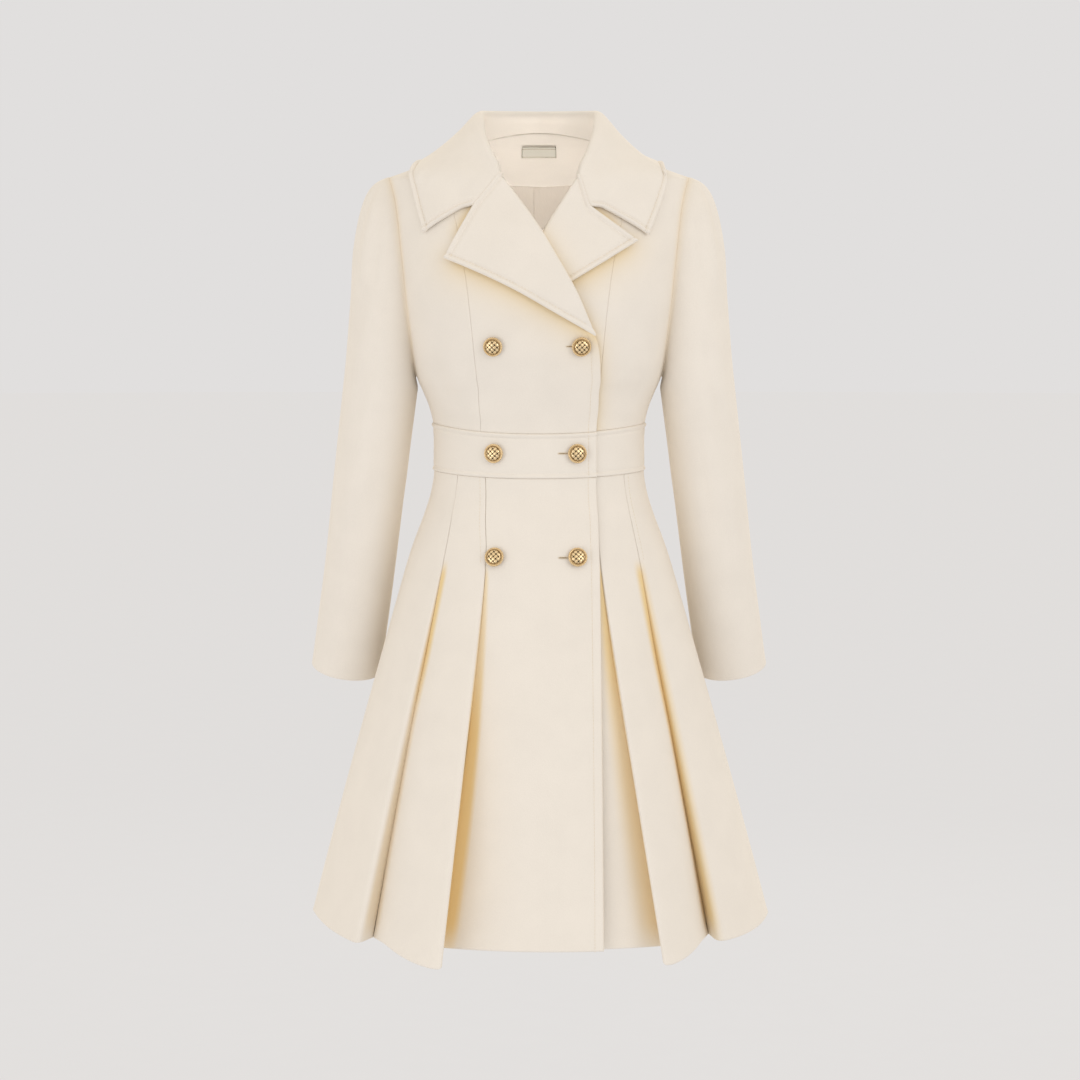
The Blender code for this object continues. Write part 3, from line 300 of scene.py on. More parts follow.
# Skirt pleats: seam at waist and release, then crisp fold and hidden valley at the hem
Pleat = namedtuple("Pleat", "name waist_x release_x behind fold_x fold_y drop valley_x valley_y")
PLEATS = {
    pleat.name: pleat
    for pleat in (
        Pleat("right_outer", -0.0950, -0.1100, 0, -0.210, -0.162, 0.002, -0.193, -0.134),
        Pleat("right_inner", -0.0617, -0.0603, 0, -0.107, -0.247, 0.0145, -0.122, -0.186),
        Pleat("left_inner", 0.0665, 0.0708, 0, 0.138, -0.232, 0.014, 0.150, -0.178),
        Pleat("left_outer", 0.1006, 0.1180, 0, 0.208, -0.152, 0.002, 0.1985, -0.114),
        Pleat("back_right_outer", -0.0980, -0.1140, 1, -0.209, 0.157, 0.002, -0.206, 0.108),
        Pleat("back_right_inner", -0.0620, -0.0620, 1, -0.115, 0.243, 0.010, -0.130, 0.184),
        Pleat("back_left_inner", 0.0620, 0.0620, 1, 0.115, 0.243, 0.010, 0.130, 0.184),
        Pleat("back_left_outer", 0.0980, 0.1140, 1, 0.209, 0.157, 0.002, 0.206, 0.108),
    )
}
SIDE_HEM = {"side_right": 0.2742, "side_left": 0.2776}
SIDE_LIFT = {"side_right": 0.005, "side_left": 0.002}

# Free ends of gores that do not end at a pleat or a side seam
End = namedtuple("End", "waist_x release_x behind hem_x hem_y")
FREE_ENDS = {
    "front_edge": End(0.0664, 0.0700, 0, 0.0745, -0.211),
    "underlap": End(-0.0490, -0.0490, 0, -0.058, -0.203),
}

# Gores: where the folded or free side starts, where the other side ends, and the belly of the hem
Gore = namedtuple("Gore", "name start end belly_x belly_y laps")
GORES = (
    Gore("skirt_right_centre", "front_edge", "right_inner", -0.036, -0.2265, 1),
    Gore("skirt_right_middle", "right_inner", "right_outer", -0.161, -0.2185, 1),
    Gore("skirt_right_side", "right_outer", "side_right", -0.2562, -0.085, 1),
    Gore("skirt_left_centre", "underlap", "left_inner", 0.060, -0.215, 0),
    Gore("skirt_left_middle", "left_inner", "left_outer", 0.179, -0.205, 0),
    Gore("skirt_left_side", "left_outer", "side_left", 0.2635, -0.104, 0),
    Gore("skirt_back_right_side", "back_right_outer", "side_right", -0.2575, 0.092, 0),
    Gore("skirt_back_right_middle", "back_right_inner", "back_right_outer", -0.168, 0.214, 0),
    Gore("skirt_back_centre", "back_right_inner", "back_left_inner", 0.000, 0.244, 0),
    Gore("skirt_back_left_middle", "back_left_inner", "back_left_outer", 0.168, 0.214, 0),
    Gore("skirt_back_left_side", "back_left_outer", "side_left", 0.2605, 0.092, 0),
)

# Sleeve sections from the underarm to the cuff, left arm
Section = namedtuple("Section", "name x y z half_width half_depth")
SLEEVE_SECTIONS = (
    Section("bicep", 0.1892, 0.004, -0.2455, 0.0445, 0.059),
    Section("elbow", 0.2039, 0.020, -0.3600, 0.0434, 0.056),
    Section("forearm", 0.2185, 0.043, -0.4750, 0.0425, 0.052),
    Section("cuff", 0.2360, 0.069, -0.5935, 0.0425, 0.048),
)
CAP_RISE = 0.125
CAP_LEAST = 0.012
CAP_FALL = 1.2
CAP_AIM = 0.6
CAP_SEAM = SEAM * 1.3
CAP_BLEND = 0.12

# Sleeve pieces: degrees round the arm where they start and end, and their width of cloth
SleevePiece = namedtuple("SleevePiece", "name first last run")
SLEEVE_PIECES = (
    SleevePiece("top_sleeve", 198.0, 432.0, 0.205),
    SleevePiece("under_sleeve", 72.0, 198.0, 0.11),
)
SLEEVE_STEP = 0.0036
CAP_FIRST = 0.04
CAP_ROWS = 54
ARM_LAST = 0.975
ARM_ROWS = 70
CUFF_FACING = 0.035

# Buttons on the right front, and the turned outline of one: radius, height above the cloth and painted light,
# low where shade is painted into the groove
Button = namedtuple("Button", "name x z")
BUTTONS = (
    Button("button_top_outer", -0.0522, -0.1973),
    Button("button_top_inner", 0.0481, -0.1973),
    Button("button_waist_outer", -0.0508, -0.3229),
    Button("button_waist_inner", 0.0430, -0.3229),
    Button("button_skirt_outer", -0.0505, -0.4443),
    Button("button_skirt_inner", 0.0437, -0.4443),
)
Turn = namedtuple("Turn", "radius height polish")
BUTTON_OUTLINE = (
    Turn(0.0030, 0.0000, 0.75),
    Turn(0.0030, 0.0013, 0.75),
    Turn(0.0034, 0.0016, 0.75),
    Turn(0.0098, 0.0018, 0.75),
    Turn(0.0107, 0.0021, 0.75),
    Turn(0.0112, 0.0027, 0.75),
    Turn(0.0112, 0.0034, 0.75),
    Turn(0.0106, 0.0038, 0.75),
    Turn(0.0098, 0.0037, 0.75),
    Turn(0.0092, 0.0034, 0.50),
    Turn(0.0088, 0.0036, 0.50),
    Turn(0.0084, 0.0043, 0.75),
)
BUTTON_SIDES = 72
BUTTON_RADIUS = 0.0112
DOME_RADIUS = 0.0084
DOME_LOW = 0.0043
DOME_RISE = 0.0029
DOME_RINGS = 24
CROWN_PAINTED_LIGHT = 0.9
FOOT_PAINTED_LIGHT = 0.3

# Basket weave on the crown, with shade painted dark between its strips, and the rope round the rim
WEAVE_STRIP = 0.0040
WEAVE_DIAGONAL = 0.7071
WEAVE_ROUND = 0.6
WEAVE_UNDER = 0.55
WEAVE_MARGIN = 0.0008
WEAVE_DEPTH = 0.00045
WEAVE_LEVEL = 0.7
WEAVE_DARK = 0.40
WEAVE_DARK_RUN = 0.25
ROPE_RADIUS = 0.0103
ROPE_HEIGHT = 0.0037
ROPE_TURN = {"Length": 0.0026, "Width": 0.00125, "Height": 0.0016, "Slant": math.radians(52)}
ROPE_PAINTED_LIGHT = 0.95

# Buttonholes: how far each end shows past its button, the rim and the slit, a sheet painted dark as shade,
# and one worked stitch
HOLE_SHOWS = {"button_top_inner": 0.0060, "button_waist_inner": 0.0102, "button_skirt_inner": 0.0102}
HOLE_HALF = 0.0009
HOLE_POINTS = 40
SLIT_HALF = 0.00055
SLIT_INSET = 0.0006
SLIT_LIFT = 0.00022
HOLE_STITCH = {"Pitch": 0.00062, "Length": 0.0014, "Width": 0.0005, "Height": 0.0006, "Slant": math.pi / 2}

# Edges of a sheet: rounding, level where the skins meet, fullness, topstitch distance and pinch
Edge = namedtuple("Edge", "radius rim swell stitch pinch")
SEWN = Edge(0.0014, 0.62, 0.0, 0.0, 0.0)
ROLLED = Edge(0.0026, 0.0, 0.0016, 0.0066, 0.0013)
FRONT = Edge(0.0018, 0.0, 0.0006, 0.0105, 0.0005)
WELT = Edge(0.0016, 0.0, 0.0010, 0.0058, 0.0005)
HEMMED = Edge(0.0016, 0.0, 0.0004, 0.0, 0.0)
TUCKED = Edge(0.0009, 0.0, 0.0, 0.0, 0.0)
NEAR_SEAM = (0.0, 0.0002, 0.0006, 0.0012, 0.0022, 0.0038, 0.0060)
NEAR_TURNED = (0.0, 0.0002, 0.0006, 0.0013, 0.0023, 0.0035)
NEAR_STITCH = NEAR_TURNED + (0.0047, 0.0056, 0.0062, 0.0066, 0.0071, 0.0078, 0.0090, 0.0110)
NEAR_FRONT = NEAR_TURNED + (0.0050, 0.0068, 0.0084, 0.0095, 0.0101, 0.0105, 0.0110, 0.0117, 0.0128, 0.0145)
NEAR_LAPEL_ROLL = (0.001, 0.002, 0.004, 0.007)
PINCH_WIDTH = 0.0017
SWELL_WIDTH = 0.006
THREAD_LIFT = 0.0001
SIDES = ("start", "end", "foot", "head")

# Shares of a side between which its topstitching runs
FRONT_STITCHED = (0.02, 0.99 * BREAK_SHARE)
EDGE_STITCHED = (0.02, 0.98)
SKIRT_STITCHED = (0.01, 0.998)
LAPEL_STITCHED = (0.12, 0.97)

# Rows or columns near a seam, a fold or an edge, as shares of the whole run
NEAR_WAIST = (0.0, 0.002, 0.006, 0.012, 0.022)
NEAR_HEM = (0.009, 0.0055, 0.003, 0.0015, 0.0005, 0.0)
NEAR_FOLD = (0.0, 0.004, 0.009, 0.015, 0.022, 0.031, 0.043, 0.06, 0.08, 0.105)
NEAR_ARMHOLE = (0.0, 0.0015, 0.004, 0.008, 0.015, 0.025)
NEAR_CUFF = (0.014, 0.008, 0.0042, 0.002, 0.0007, 0.0)

# Runs of cloth that the grids divide, and their steps
STEP = 0.0042
BODICE_RUN = 0.31
FRONT_RUN = 0.13
SIDE_FRONT_RUN = 0.085
BACK_RUN = 0.19
BAND_RUN = 0.057
BAND_RADIUS = 0.11
BAND_STEP = 0.004
BAND_MIDDLE = -0.32
GORE_RUN = 0.14
GORE_END_RUN = 0.12
GORE_COLS = 40
YOKE_ROWS = 26
FLARE_ROWS = 84
LAST_EVEN = 0.985
RETURN_COLS = 18
RETURN_CROWD = 1.7
COLLAR_RUN = 0.70
COLLAR_FALL_RUN = 0.115
COLLAR_STEP = 0.0018
LAPEL_RUN = 0.24
LAPEL_ROW_STEP = 0.003
LAPEL_WIDTH_RUN = 0.095
LAPEL_STEP = 0.0035

# How a crease dies out along its run, and how much of it its ends keep
TAPER_RUN = 0.35
CREASE_BLUNT = 0.15
FOLD_BLUNT = 0.2

# Soft creases seen from the front or the back: ends, width and height; a minus height is a hollow
Crease = namedtuple("Crease", "behind x0 z0 x1 z1 width height")
BODY_CREASES = (
    Crease(0, -0.112, -0.196, -0.078, -0.262, 0.0100, 0.0011),
    Crease(0, -0.126, -0.214, -0.098, -0.268, 0.0080, -0.0010),
    Crease(0, 0.116, -0.190, 0.084, -0.258, 0.0110, 0.0010),
    Crease(0, 0.128, -0.220, 0.102, -0.272, 0.0085, -0.0011),
    Crease(0, -0.020, -0.205, 0.030, -0.255, 0.0160, 0.0007),
    Crease(0, -0.092, -0.352, -0.100, -0.410, 0.0100, 0.0009),
    Crease(0, -0.028, -0.356, -0.034, -0.440, 0.0170, -0.0006),
    Crease(0, 0.092, -0.352, 0.101, -0.400, 0.0090, 0.0008),
    Crease(1, -0.070, -0.150, -0.104, -0.232, 0.0120, 0.0012),
    Crease(1, -0.058, -0.190, -0.084, -0.268, 0.0090, -0.0010),
    Crease(1, 0.074, -0.144, 0.110, -0.226, 0.0130, 0.0011),
    Crease(1, 0.060, -0.196, 0.088, -0.270, 0.0095, -0.0010),
    Crease(1, -0.020, -0.225, 0.024, -0.262, 0.0110, 0.0008),
    Crease(1, -0.092, -0.352, -0.100, -0.405, 0.0095, 0.0009),
    Crease(1, 0.088, -0.352, 0.098, -0.412, 0.0105, 0.0009),
)
SKIRT_CREASES = (
    Crease(0, -0.020, -0.560, -0.030, -0.880, 0.0300, 0.0022),
    Crease(0, -0.075, -0.600, -0.088, -0.880, 0.0240, -0.0016),
    Crease(0, 0.030, -0.620, 0.036, -0.880, 0.0240, -0.0014),
    Crease(0, -0.128, -0.560, -0.166, -0.880, 0.0180, 0.0022),
    Crease(0, -0.228, -0.640, -0.248, -0.880, 0.0130, 0.0022),
    Crease(0, 0.142, -0.560, 0.176, -0.880, 0.0190, 0.0020),
    Crease(0, 0.200, -0.560, 0.246, -0.880, 0.0150, 0.0024),
    Crease(1, 0.014, -0.540, 0.020, -0.880, 0.0300, 0.0026),
    Crease(1, -0.056, -0.600, -0.066, -0.880, 0.0220, -0.0022),
    Crease(1, 0.060, -0.580, 0.074, -0.880, 0.0200, -0.0018),
    Crease(1, -0.134, -0.570, -0.172, -0.880, 0.0190, 0.0022),
    Crease(1, 0.128, -0.590, 0.160, -0.880, 0.0170, 0.0024),
    Crease(1, -0.206, -0.600, -0.246, -0.880, 0.0150, 0.0022),
    Crease(1, 0.210, -0.580, 0.248, -0.880, 0.0160, 0.0020),
)

# Sleeve folds on the left arm: angle and share at both ends, width in degrees and height
FOLD_DEGREES = 110.0
FOLD_START = 0.08
Fold = namedtuple("Fold", "psi0 share0 psi1 share1 width height")
SLEEVE_FOLDS = (
    Fold(330.0, 0.10, 322.0, 0.62, 7.0, 0.0026),
    Fold(345.0, 0.08, 341.0, 0.50, 6.0, -0.0021),
    Fold(359.0, 0.08, 357.0, 0.66, 7.0, 0.0027),
    Fold(312.0, 0.12, 303.0, 0.55, 6.5, -0.0019),
    Fold(375.0, 0.08, 378.0, 0.54, 6.5, -0.0019),
    Fold(389.0, 0.10, 396.0, 0.60, 7.5, 0.0022),
    Fold(286.0, 0.50, 318.0, 0.98, 10.0, 0.0016),
    Fold(276.0, 0.72, 306.0, 1.16, 9.0, -0.0015),
    Fold(262.0, 1.22, 316.0, 1.42, 11.0, 0.0014),
    Fold(252.0, 1.36, 300.0, 1.52, 9.0, -0.0013),
    Fold(384.0, 1.30, 418.0, 1.52, 11.0, 0.0013),
    Fold(120.0, 1.18, 176.0, 1.36, 12.0, 0.0015),
    Fold(104.0, 1.36, 168.0, 1.48, 10.0, -0.0013),
    Fold(318.0, 1.66, 352.0, 1.90, 12.0, 0.0010),
)

# Extra radius that the outer pleats' folds gain by the hem
SOFT_FOLDS = {
    "right_outer": 0.0030, "left_outer": 0.0022, "back_right_outer": 0.0018, "back_left_outer": 0.0027
}

# Painted warm shade under the lapels, at the armholes and where the right front lies on the left
Shade = namedtuple("Shade", "strength soft")
ARMHOLE_SHADE = Shade(0.25, 0.006)
CAP_SHADE = Shade(0.22, 0.006)
LAPEL_EDGE_SHADE = Shade(0.80, 0.013)
LAPEL_TOP_SHADE = Shade(0.90, 0.007)
LAP_SHADE = Shade(0.50, 0.008)
LAPEL_LAP_SHADE = Shade(0.50, 0.010)
TIP_RUN = 0.15
TIP_LEFT = 0.3
TOP_START = 0.1
TOP_RUN = 0.6
INNER_ARM_SHADE = 0.18
INNER_ARM_TURN = 0.3
INNER_ARM_START = 0.7
INNER_ARM_RUN = 0.4

# Painted warm shade in the pleats: where it changes, and how it starts at the release and dims at the hem
PLEAT_SHADE_CHANGE = 0.22
PLEAT_SHADE_CHANGE_RUN = 0.25
PLEAT_SHADE_START = 0.05
PLEAT_SHADE_FACE = 0.008
PLEAT_SHADE_HEM = 0.4
PLEAT_SHADE_HEM_RUN = 0.03

# One pleat's painted warm shade: width and soft edge at release and hem, strength above and below, reach on
# its face
Gold = namedtuple("Gold", "wide_top wide_low soft_top soft_low top low face")
PAINTED_PLEAT_SHADE = {
    "right_outer": Gold(0.004, 0.003, 0.006, 0.018, 1.0, 0.35, 0.0),
    "right_inner": Gold(0.001, 0.022, 0.003, 0.011, 0.6, 1.0, 0.0),
    "left_inner": Gold(0.002, 0.012, 0.006, 0.036, 0.9, 0.65, 0.0),
    "left_outer": Gold(0.003, 0.004, 0.010, 0.014, 1.0, 1.0, 0.009),
    "back_right_outer": Gold(0.004, 0.008, 0.005, 0.012, 0.9, 0.8, 0.004),
    "back_right_inner": Gold(0.001, 0.017, 0.003, 0.014, 0.8, 0.9, 0.0),
    "back_left_inner": Gold(0.001, 0.014, 0.004, 0.018, 0.8, 0.9, 0.0),
    "back_left_outer": Gold(0.003, 0.006, 0.005, 0.014, 1.0, 0.6, 0.003),
}

# View of the photograph
EYE = (0.0012, -3.6, -0.146)
LOOK_AT = (0.0012, 0.0, -0.4316)
LENS = 100.32
SENSOR = 36.0
FAR = 200.0

# Studio: a round floor and four soft lamps
FLOOR_RADIUS = 40.0
FLOOR_SIDES = 96
Lamp = namedtuple("Lamp", "name place aim size power cone colour")
LAMPS = (
    Lamp("key", (2.4, -2.3, 0.7), (0.10, 0.0, -0.15), 1.8, 18.0, 180, "#ffffff"),
    Lamp("low_key", (-2.2, -2.3, -0.9), (-0.10, -0.1, -0.75), 1.8, 17.0, 180, "#ffffff"),
    Lamp("neck", (0.0, -0.03, -0.24), (0.0, 0.07, 0.03), 0.08, 0.09, 64, "#fffaf4"),
    Lamp("back", (0.6, 3.0, 1.0), (0.0, 0.0, -0.35), 2.4, 20.0, 180, "#ffffff"),
)


def linear(code):
    """A colour written as sRGB hex, as linear light with full cover."""
    parts = [int(code[k:k + 2], 16) / 255.0 for k in (1, 3, 5)]
    parts = [c / 12.92 if c <= 0.04045 else ((c + 0.055) / 1.055) ** 2.4 for c in parts]
    return (*parts, 1.0)


class CoatSizes(bpy.types.PropertyGroup):
    """Sizes of the sewing, the creases and the stage."""

    crease: FloatProperty(
        name="Crease depth", description="How strongly the creases show", default=1.0, min=0.0, max=2.0
    )
    fold_radius: FloatProperty(
        name="Pleat fold", description="Radius of the crisp fold of a pleat", default=0.0030, unit="LENGTH"
    )
    pinch: FloatProperty(
        name="Stitch pinch", description="How strongly a topstitch pulls in", default=1.0, min=0.0, max=2.0
    )
    stitch_pitch: FloatProperty(
        name="Stitch pitch", description="From one topstitch to the next", default=0.0040, unit="LENGTH"
    )
    stitch_length: FloatProperty(
        name="Stitch length", description="Length of one topstitch", default=0.0031, unit="LENGTH"
    )
    thread: FloatProperty(
        name="Thread", description="Thickness of the topstitch thread", default=0.00055, unit="LENGTH"
    )
    buttonhole: FloatProperty(
        name="Buttonhole", description="Length of a buttonhole", default=0.0120, unit="LENGTH"
    )
    bead_count: IntProperty(
        name="Rope turns", description="Turns of the rope round a button's rim", default=34, min=8, max=80
    )
    allowance: FloatProperty(
        name="Seam allowance", description="Cloth added round a cut piece", default=0.006, unit="LENGTH"
    )
    floor: FloatProperty(
        name="Floor", description="Height of the floor under the hanging coat", default=-1.45, unit="LENGTH"
    )


TINT = {"size": 4, "min": 0.0, "max": 1.0, "subtype": "COLOR"}


class CoatColours(bpy.types.PropertyGroup):
    """Colours of the cloth, the buttons and the stage."""

    wool: FloatVectorProperty(name="Wool", description="Cream wool", default=linear("#ece6de"), **TINT)
    # Colour of the painted warm shade in folds
    wool_painted_shade: FloatVectorProperty(
        name="Painted shade in folds", description="Painted warm shade deep in a pleat", default=linear("#e9cf9a"), **TINT
    )
    satin: FloatVectorProperty(name="Lining", description="Satin lining", default=linear("#e9e0d5"), **TINT)
    tape: FloatVectorProperty(name="Label", description="Bare woven label", default=linear("#d6d3c8"), **TINT)
    thread: FloatVectorProperty(
        name="Thread", description="Topstitch thread", default=linear("#efe3cf"), **TINT
    )
    gold: FloatVectorProperty(name="Gold", description="Plated button", default=linear("#f7dcae"), **TINT)
    # Colour of the painted shade in a button's hollows
    gold_painted_shade: FloatVectorProperty(
        name="Gold hollows", description="Painted shade in a button's hollows", default=linear("#3d2c18"), **TINT
    )
    backdrop: FloatVectorProperty(
        name="Backdrop", description="Pale studio", default=linear("#e1dfde"), **TINT
    )


def hermite(t, start, end, leave, arrive):
    """Cubic from start to end that leaves and arrives along the given slopes."""
    between = start * (1 + 2 * t) * (1 - t) ** 2 + end * t * t * (3 - 2 * t)
    return between + leave * t * (1 - t) ** 2 - arrive * t * t * (1 - t)


def smooth_through(places, values):
    """A curve through the given values that never overshoots them."""
    places = np.asarray(places, float)
    values = np.asarray(values, float)
    step = np.diff(places)
    slope = np.diff(values) / step
    tangent = np.concatenate(([slope[0]], np.zeros(len(slope) - 1), [slope[-1]]))
    for k in range(1, len(slope)):
        if slope[k - 1] * slope[k] > 0:
            before = 2 * step[k] + step[k - 1]
            after = step[k] + 2 * step[k - 1]
            tangent[k] = (before + after) / (before / slope[k - 1] + after / slope[k])

    def value(place):
        place = np.clip(np.asarray(place, float), places[0], places[-1])
        k = np.clip(np.searchsorted(places, place) - 1, 0, len(step) - 1)
        t = (place - places[k]) / step[k]
        return hermite(t, values[k], values[k + 1], tangent[k] * step[k], tangent[k + 1] * step[k])

    return value


def column(rows, key, name):
    """One column of a table as a smooth curve over its key column."""
    return smooth_through([getattr(row, key) for row in rows], [getattr(row, name) for row in rows])


HALF_WIDTH = column(BODY_RINGS, "z", "half_width")
DEPTH_FRONT = column(BODY_RINGS, "z", "front")
DEPTH_BACK = column(BODY_RINGS, "z", "back")
SQUARE = column(BODY_RINGS, "z", "square")


def ease(share):
    """Smooth step from 0 to 1."""
    share = np.clip(share, 0.0, 1.0)
    return share * share * (3.0 - 2.0 * share)


def unit(vectors):
    """Vectors scaled to length one."""
    length = np.linalg.norm(vectors, axis=-1, keepdims=True)
    return vectors / np.maximum(length, 1e-12)


def body(turn, z):
    """Point of the worn form; turn is 0 at the centre front and grows towards the left side."""
    turn, z = np.broadcast_arrays(np.asarray(turn, float), np.asarray(z, float))
    power = 2.0 / SQUARE(z)
    across = np.sin(turn)
    ahead = np.cos(turn)
    depth = np.where(ahead > 0, DEPTH_FRONT(z), DEPTH_BACK(z))
    x = HALF_WIDTH(z) * np.sign(across) * np.abs(across) ** power
    y = -depth * np.sign(ahead) * np.abs(ahead) ** power
    return np.stack((x, y, z), axis=-1)


def body_normal(turn, z):
    """Outward direction of the worn form."""
    around = body(turn + SMALL_TURN, z) - body(turn - SMALL_TURN, z)
    up = body(turn, z + SMALL_STEP) - body(turn, z - SMALL_STEP)
    return unit(np.cross(around, up))


def turn_at(x, z, behind=0):
    """Turn at which the form has the given x."""
    share = np.clip(np.abs(x) / HALF_WIDTH(z), 0.0, 1.0)
    turn = np.sign(x) * np.arcsin(share ** (SQUARE(z) / 2.0))
    return math.pi - turn if behind else turn


def lap(turn, z):
    """Rise of the right front above the form, none at its side seam and none above the lapels' crossing."""
    near = ease((turn + LAP_START) / LAP_RUN)
    place = body(turn, z)
    away = np.hypot(place[..., 0] - SWELL_CENTRE[0], place[..., 2] - SWELL_CENTRE[1])
    swell = LAPEL_SWELL * (1.0 - ease((away - SWELL_FLAT) / (SWELL_EDGE - SWELL_FLAT)))
    return (LAP * ease((LAP_FADE - z) / LAP_FADE_RUN) + swell) * near


def level(turn, z):
    """No rise: the cloth lies on the form."""
    return np.zeros(np.broadcast(turn, z).shape)


def waist_top(turn):
    """Height of the seam above the waistband, lower at the centre front."""
    return WAIST_TOP - WAIST_TOP_DIP * np.maximum(np.cos(turn), 0.0) ** 2


def waist_bottom(turn):
    """Height of the seam below the waistband."""
    return WAIST_BOTTOM - WAIST_BOTTOM_DIP * np.maximum(np.cos(turn), 0.0) ** 2


def armhole(round_turn, side, within=0.0):
    """Armhole loop as turn and height: 0 at the shoulder tip, forward, pi at the underarm."""
    drop = ARMHOLE_TOP - ARMHOLE_BOTTOM - 2 * within
    z = ARMHOLE_TOP - within - drop * (1.0 - np.cos(round_turn)) / 2.0
    reach = np.sin(round_turn)
    ahead = reach > 0
    y = np.where(ahead, ARMHOLE_FRONT - within, ARMHOLE_BACK - within) * np.abs(reach)
    depth = np.where(ahead, DEPTH_FRONT(z), DEPTH_BACK(z))
    turn = np.arccos(np.clip(y / depth, 0.0, 1.0) ** (SQUARE(z) / 2.0))
    return side * np.where(ahead, turn, math.pi - turn), z


def bend(start, pull, end, share):
    """Quadratic curve between two points, drawn towards a third."""
    start, pull, end = np.array(start), np.array(pull), np.array(end)
    share = np.asarray(share)[..., None]
    return (1 - share) ** 2 * start + 2 * share * (1 - share) * pull + share ** 2 * end


def roll_line(plan, share):
    """Roll line of a lapel in the front view, from the break to the gorge."""
    return bend(plan.brk, plan.roll_pull, plan.gorge, share)


def lower_line(plan, share):
    """Lower edge of a lapel in the front view, from the break to the tip."""
    return bend(plan.brk, plan.lower_pull, plan.tip, share)


def outside(points):
    """Distance outside the form, and its direction, near the form."""

    def measure(p):
        x, y, z = p[..., 0], p[..., 1], p[..., 2]
        depth = np.where(y < 0, DEPTH_FRONT(z), DEPTH_BACK(z))
        power = SQUARE(z)
        return ((np.abs(x) / HALF_WIDTH(z)) ** power + (np.abs(y) / depth) ** power) ** (1.0 / power)

    slope = []
    for axis in np.eye(3) * SMALL_STEP:
        slope.append((measure(points + axis) - measure(points - axis)) / (2 * SMALL_STEP))
    slope = np.stack(slope, axis=-1)
    steep = np.linalg.norm(slope, axis=-1)
    return (measure(points) - 1.0) / steep, slope / steep[..., None]


def to_form(points):
    """Points drawn onto the form."""
    points = points.copy()
    for _ in range(FORM_STEPS):
        far, direction = outside(points)
        points -= direction * far[..., None]
    return points


def coons(bottom, top, left, right, q, v):
    """Grid of points on the form, filled in between four edges."""
    low = body(*bottom(q))[None, :, :]
    high = body(*top(q))[None, :, :]
    near = body(*left(v))[:, None, :]
    far = body(*right(v))[:, None, :]
    corner = [body(*edge(np.array(end)))[None, None] for edge in (bottom, top) for end in (0.0, 1.0)]
    q = q[None, :, None]
    v = v[:, None, None]
    foot = (1 - q) * corner[0] + q * corner[1]
    head = (1 - q) * corner[2] + q * corner[3]
    grid = (1 - v) * (low - foot) + v * (high - head) + (1 - q) * near + q * far
    return to_form(grid)


def rise_at(points, rise):
    """Rise of the cloth above the form at points on its front."""
    return rise(turn_at(points[..., 0], points[..., 2]), points[..., 2])[..., None]


def spread(run, start, end, step):
    """Shares of a run of cloth, close together near both ends and even between."""
    start = np.asarray(start) + MEET
    end = np.asarray(end) + MEET
    count = max(int((run - start[-1] - end[-1]) / step), 2)
    between = np.linspace(start[-1], run - end[-1], count + 1)[1:-1]
    return np.concatenate((start, between, run - end[::-1])) / run


def grid_normal(grid):
    """Directions square to a grid of points."""
    along = np.gradient(grid, axis=0)
    across = np.gradient(grid, axis=1)
    return unit(np.cross(along, across))


def runs(grid):
    """Lengths of cloth from the first column and from the first row of a grid."""
    across = np.zeros(grid.shape[:2])
    across[:, 1:] = np.cumsum(np.linalg.norm(np.diff(grid, axis=1), axis=2), axis=1)
    along = np.zeros(grid.shape[:2])
    along[1:] = np.cumsum(np.linalg.norm(np.diff(grid, axis=0), axis=2), axis=0)
    return across, along


def lengths(line):
    """Length of a line from its first point to each of its points."""
    return np.concatenate(([0.0], np.cumsum(np.linalg.norm(np.diff(line, axis=0), axis=1))))


def read_line(at, places, line):
    """Points of a line read at the given places along it."""
    return np.stack([np.interp(at, places, line[:, k]) for k in range(3)], axis=-1)


def curve_through(points, shares):
    """Smooth curve through rows of points, read again at the given shares of its run."""
    step = np.linalg.norm(np.diff(points, axis=0), axis=-1).mean(axis=1)
    places = np.concatenate(([0.0], np.cumsum(step)))
    slope = np.diff(points, axis=0) / step[:, None, None]
    weight = (step[1:] / (step[1:] + step[:-1]))[:, None, None]
    inner = slope[:-1] * weight + slope[1:] * (1 - weight)
    tangent = np.concatenate((slope[:1], inner, slope[-1:]))
    place = np.asarray(shares) * places[-1]
    k = np.clip(np.searchsorted(places, place) - 1, 0, len(step) - 1)
    t = ((place - places[k]) / step[k])[:, None, None]
    run = step[k][:, None, None]
    return hermite(t, points[k], points[k + 1], tangent[k] * run, tangent[k + 1] * run)


def round_shoulder(grid):
    """A bodice panel whose bend over the shoulder is eased, with its four edges kept."""
    grid = grid.copy()
    weight = SHOULDER_EASE * np.exp(-((grid[1:-1, 1:-1, 2:] / SHOULDER_REACH) ** 2))
    for _ in range(SHOULDER_STEPS):
        normal = grid_normal(grid)[1:-1, 1:-1]
        mean = (grid[:-2, 1:-1] + grid[2:, 1:-1] + grid[1:-1, :-2] + grid[1:-1, 2:]) / 4
        rise = ((mean - grid[1:-1, 1:-1]) * normal).sum(axis=-1, keepdims=True)
        grid[1:-1, 1:-1] += normal * rise * weight
    return grid


def taper(share, blunt):
    """Strength of a crease along its run, dying out towards both ends."""
    return ease(share / TAPER_RUN + blunt) * ease((1.0 - share) / TAPER_RUN + blunt)


def crease_lift(points, creases):
    """How far the listed creases lift the cloth at each point."""
    lift = np.zeros(points.shape[:-1])
    for crease in creases:
        start = np.array((crease.x0, crease.z0))
        run = np.array((crease.x1, crease.z1)) - start
        place = points[..., (0, 2)] - start
        share = (place @ run) / (run @ run)
        away = np.linalg.norm(place - np.clip(share, 0.0, 1.0)[..., None] * run, axis=-1)
        side = (points[..., 1] > 0) == bool(crease.behind)
        lift += side * crease.height * taper(share, CREASE_BLUNT) * np.exp(-((away / crease.width) ** 2))
    return lift


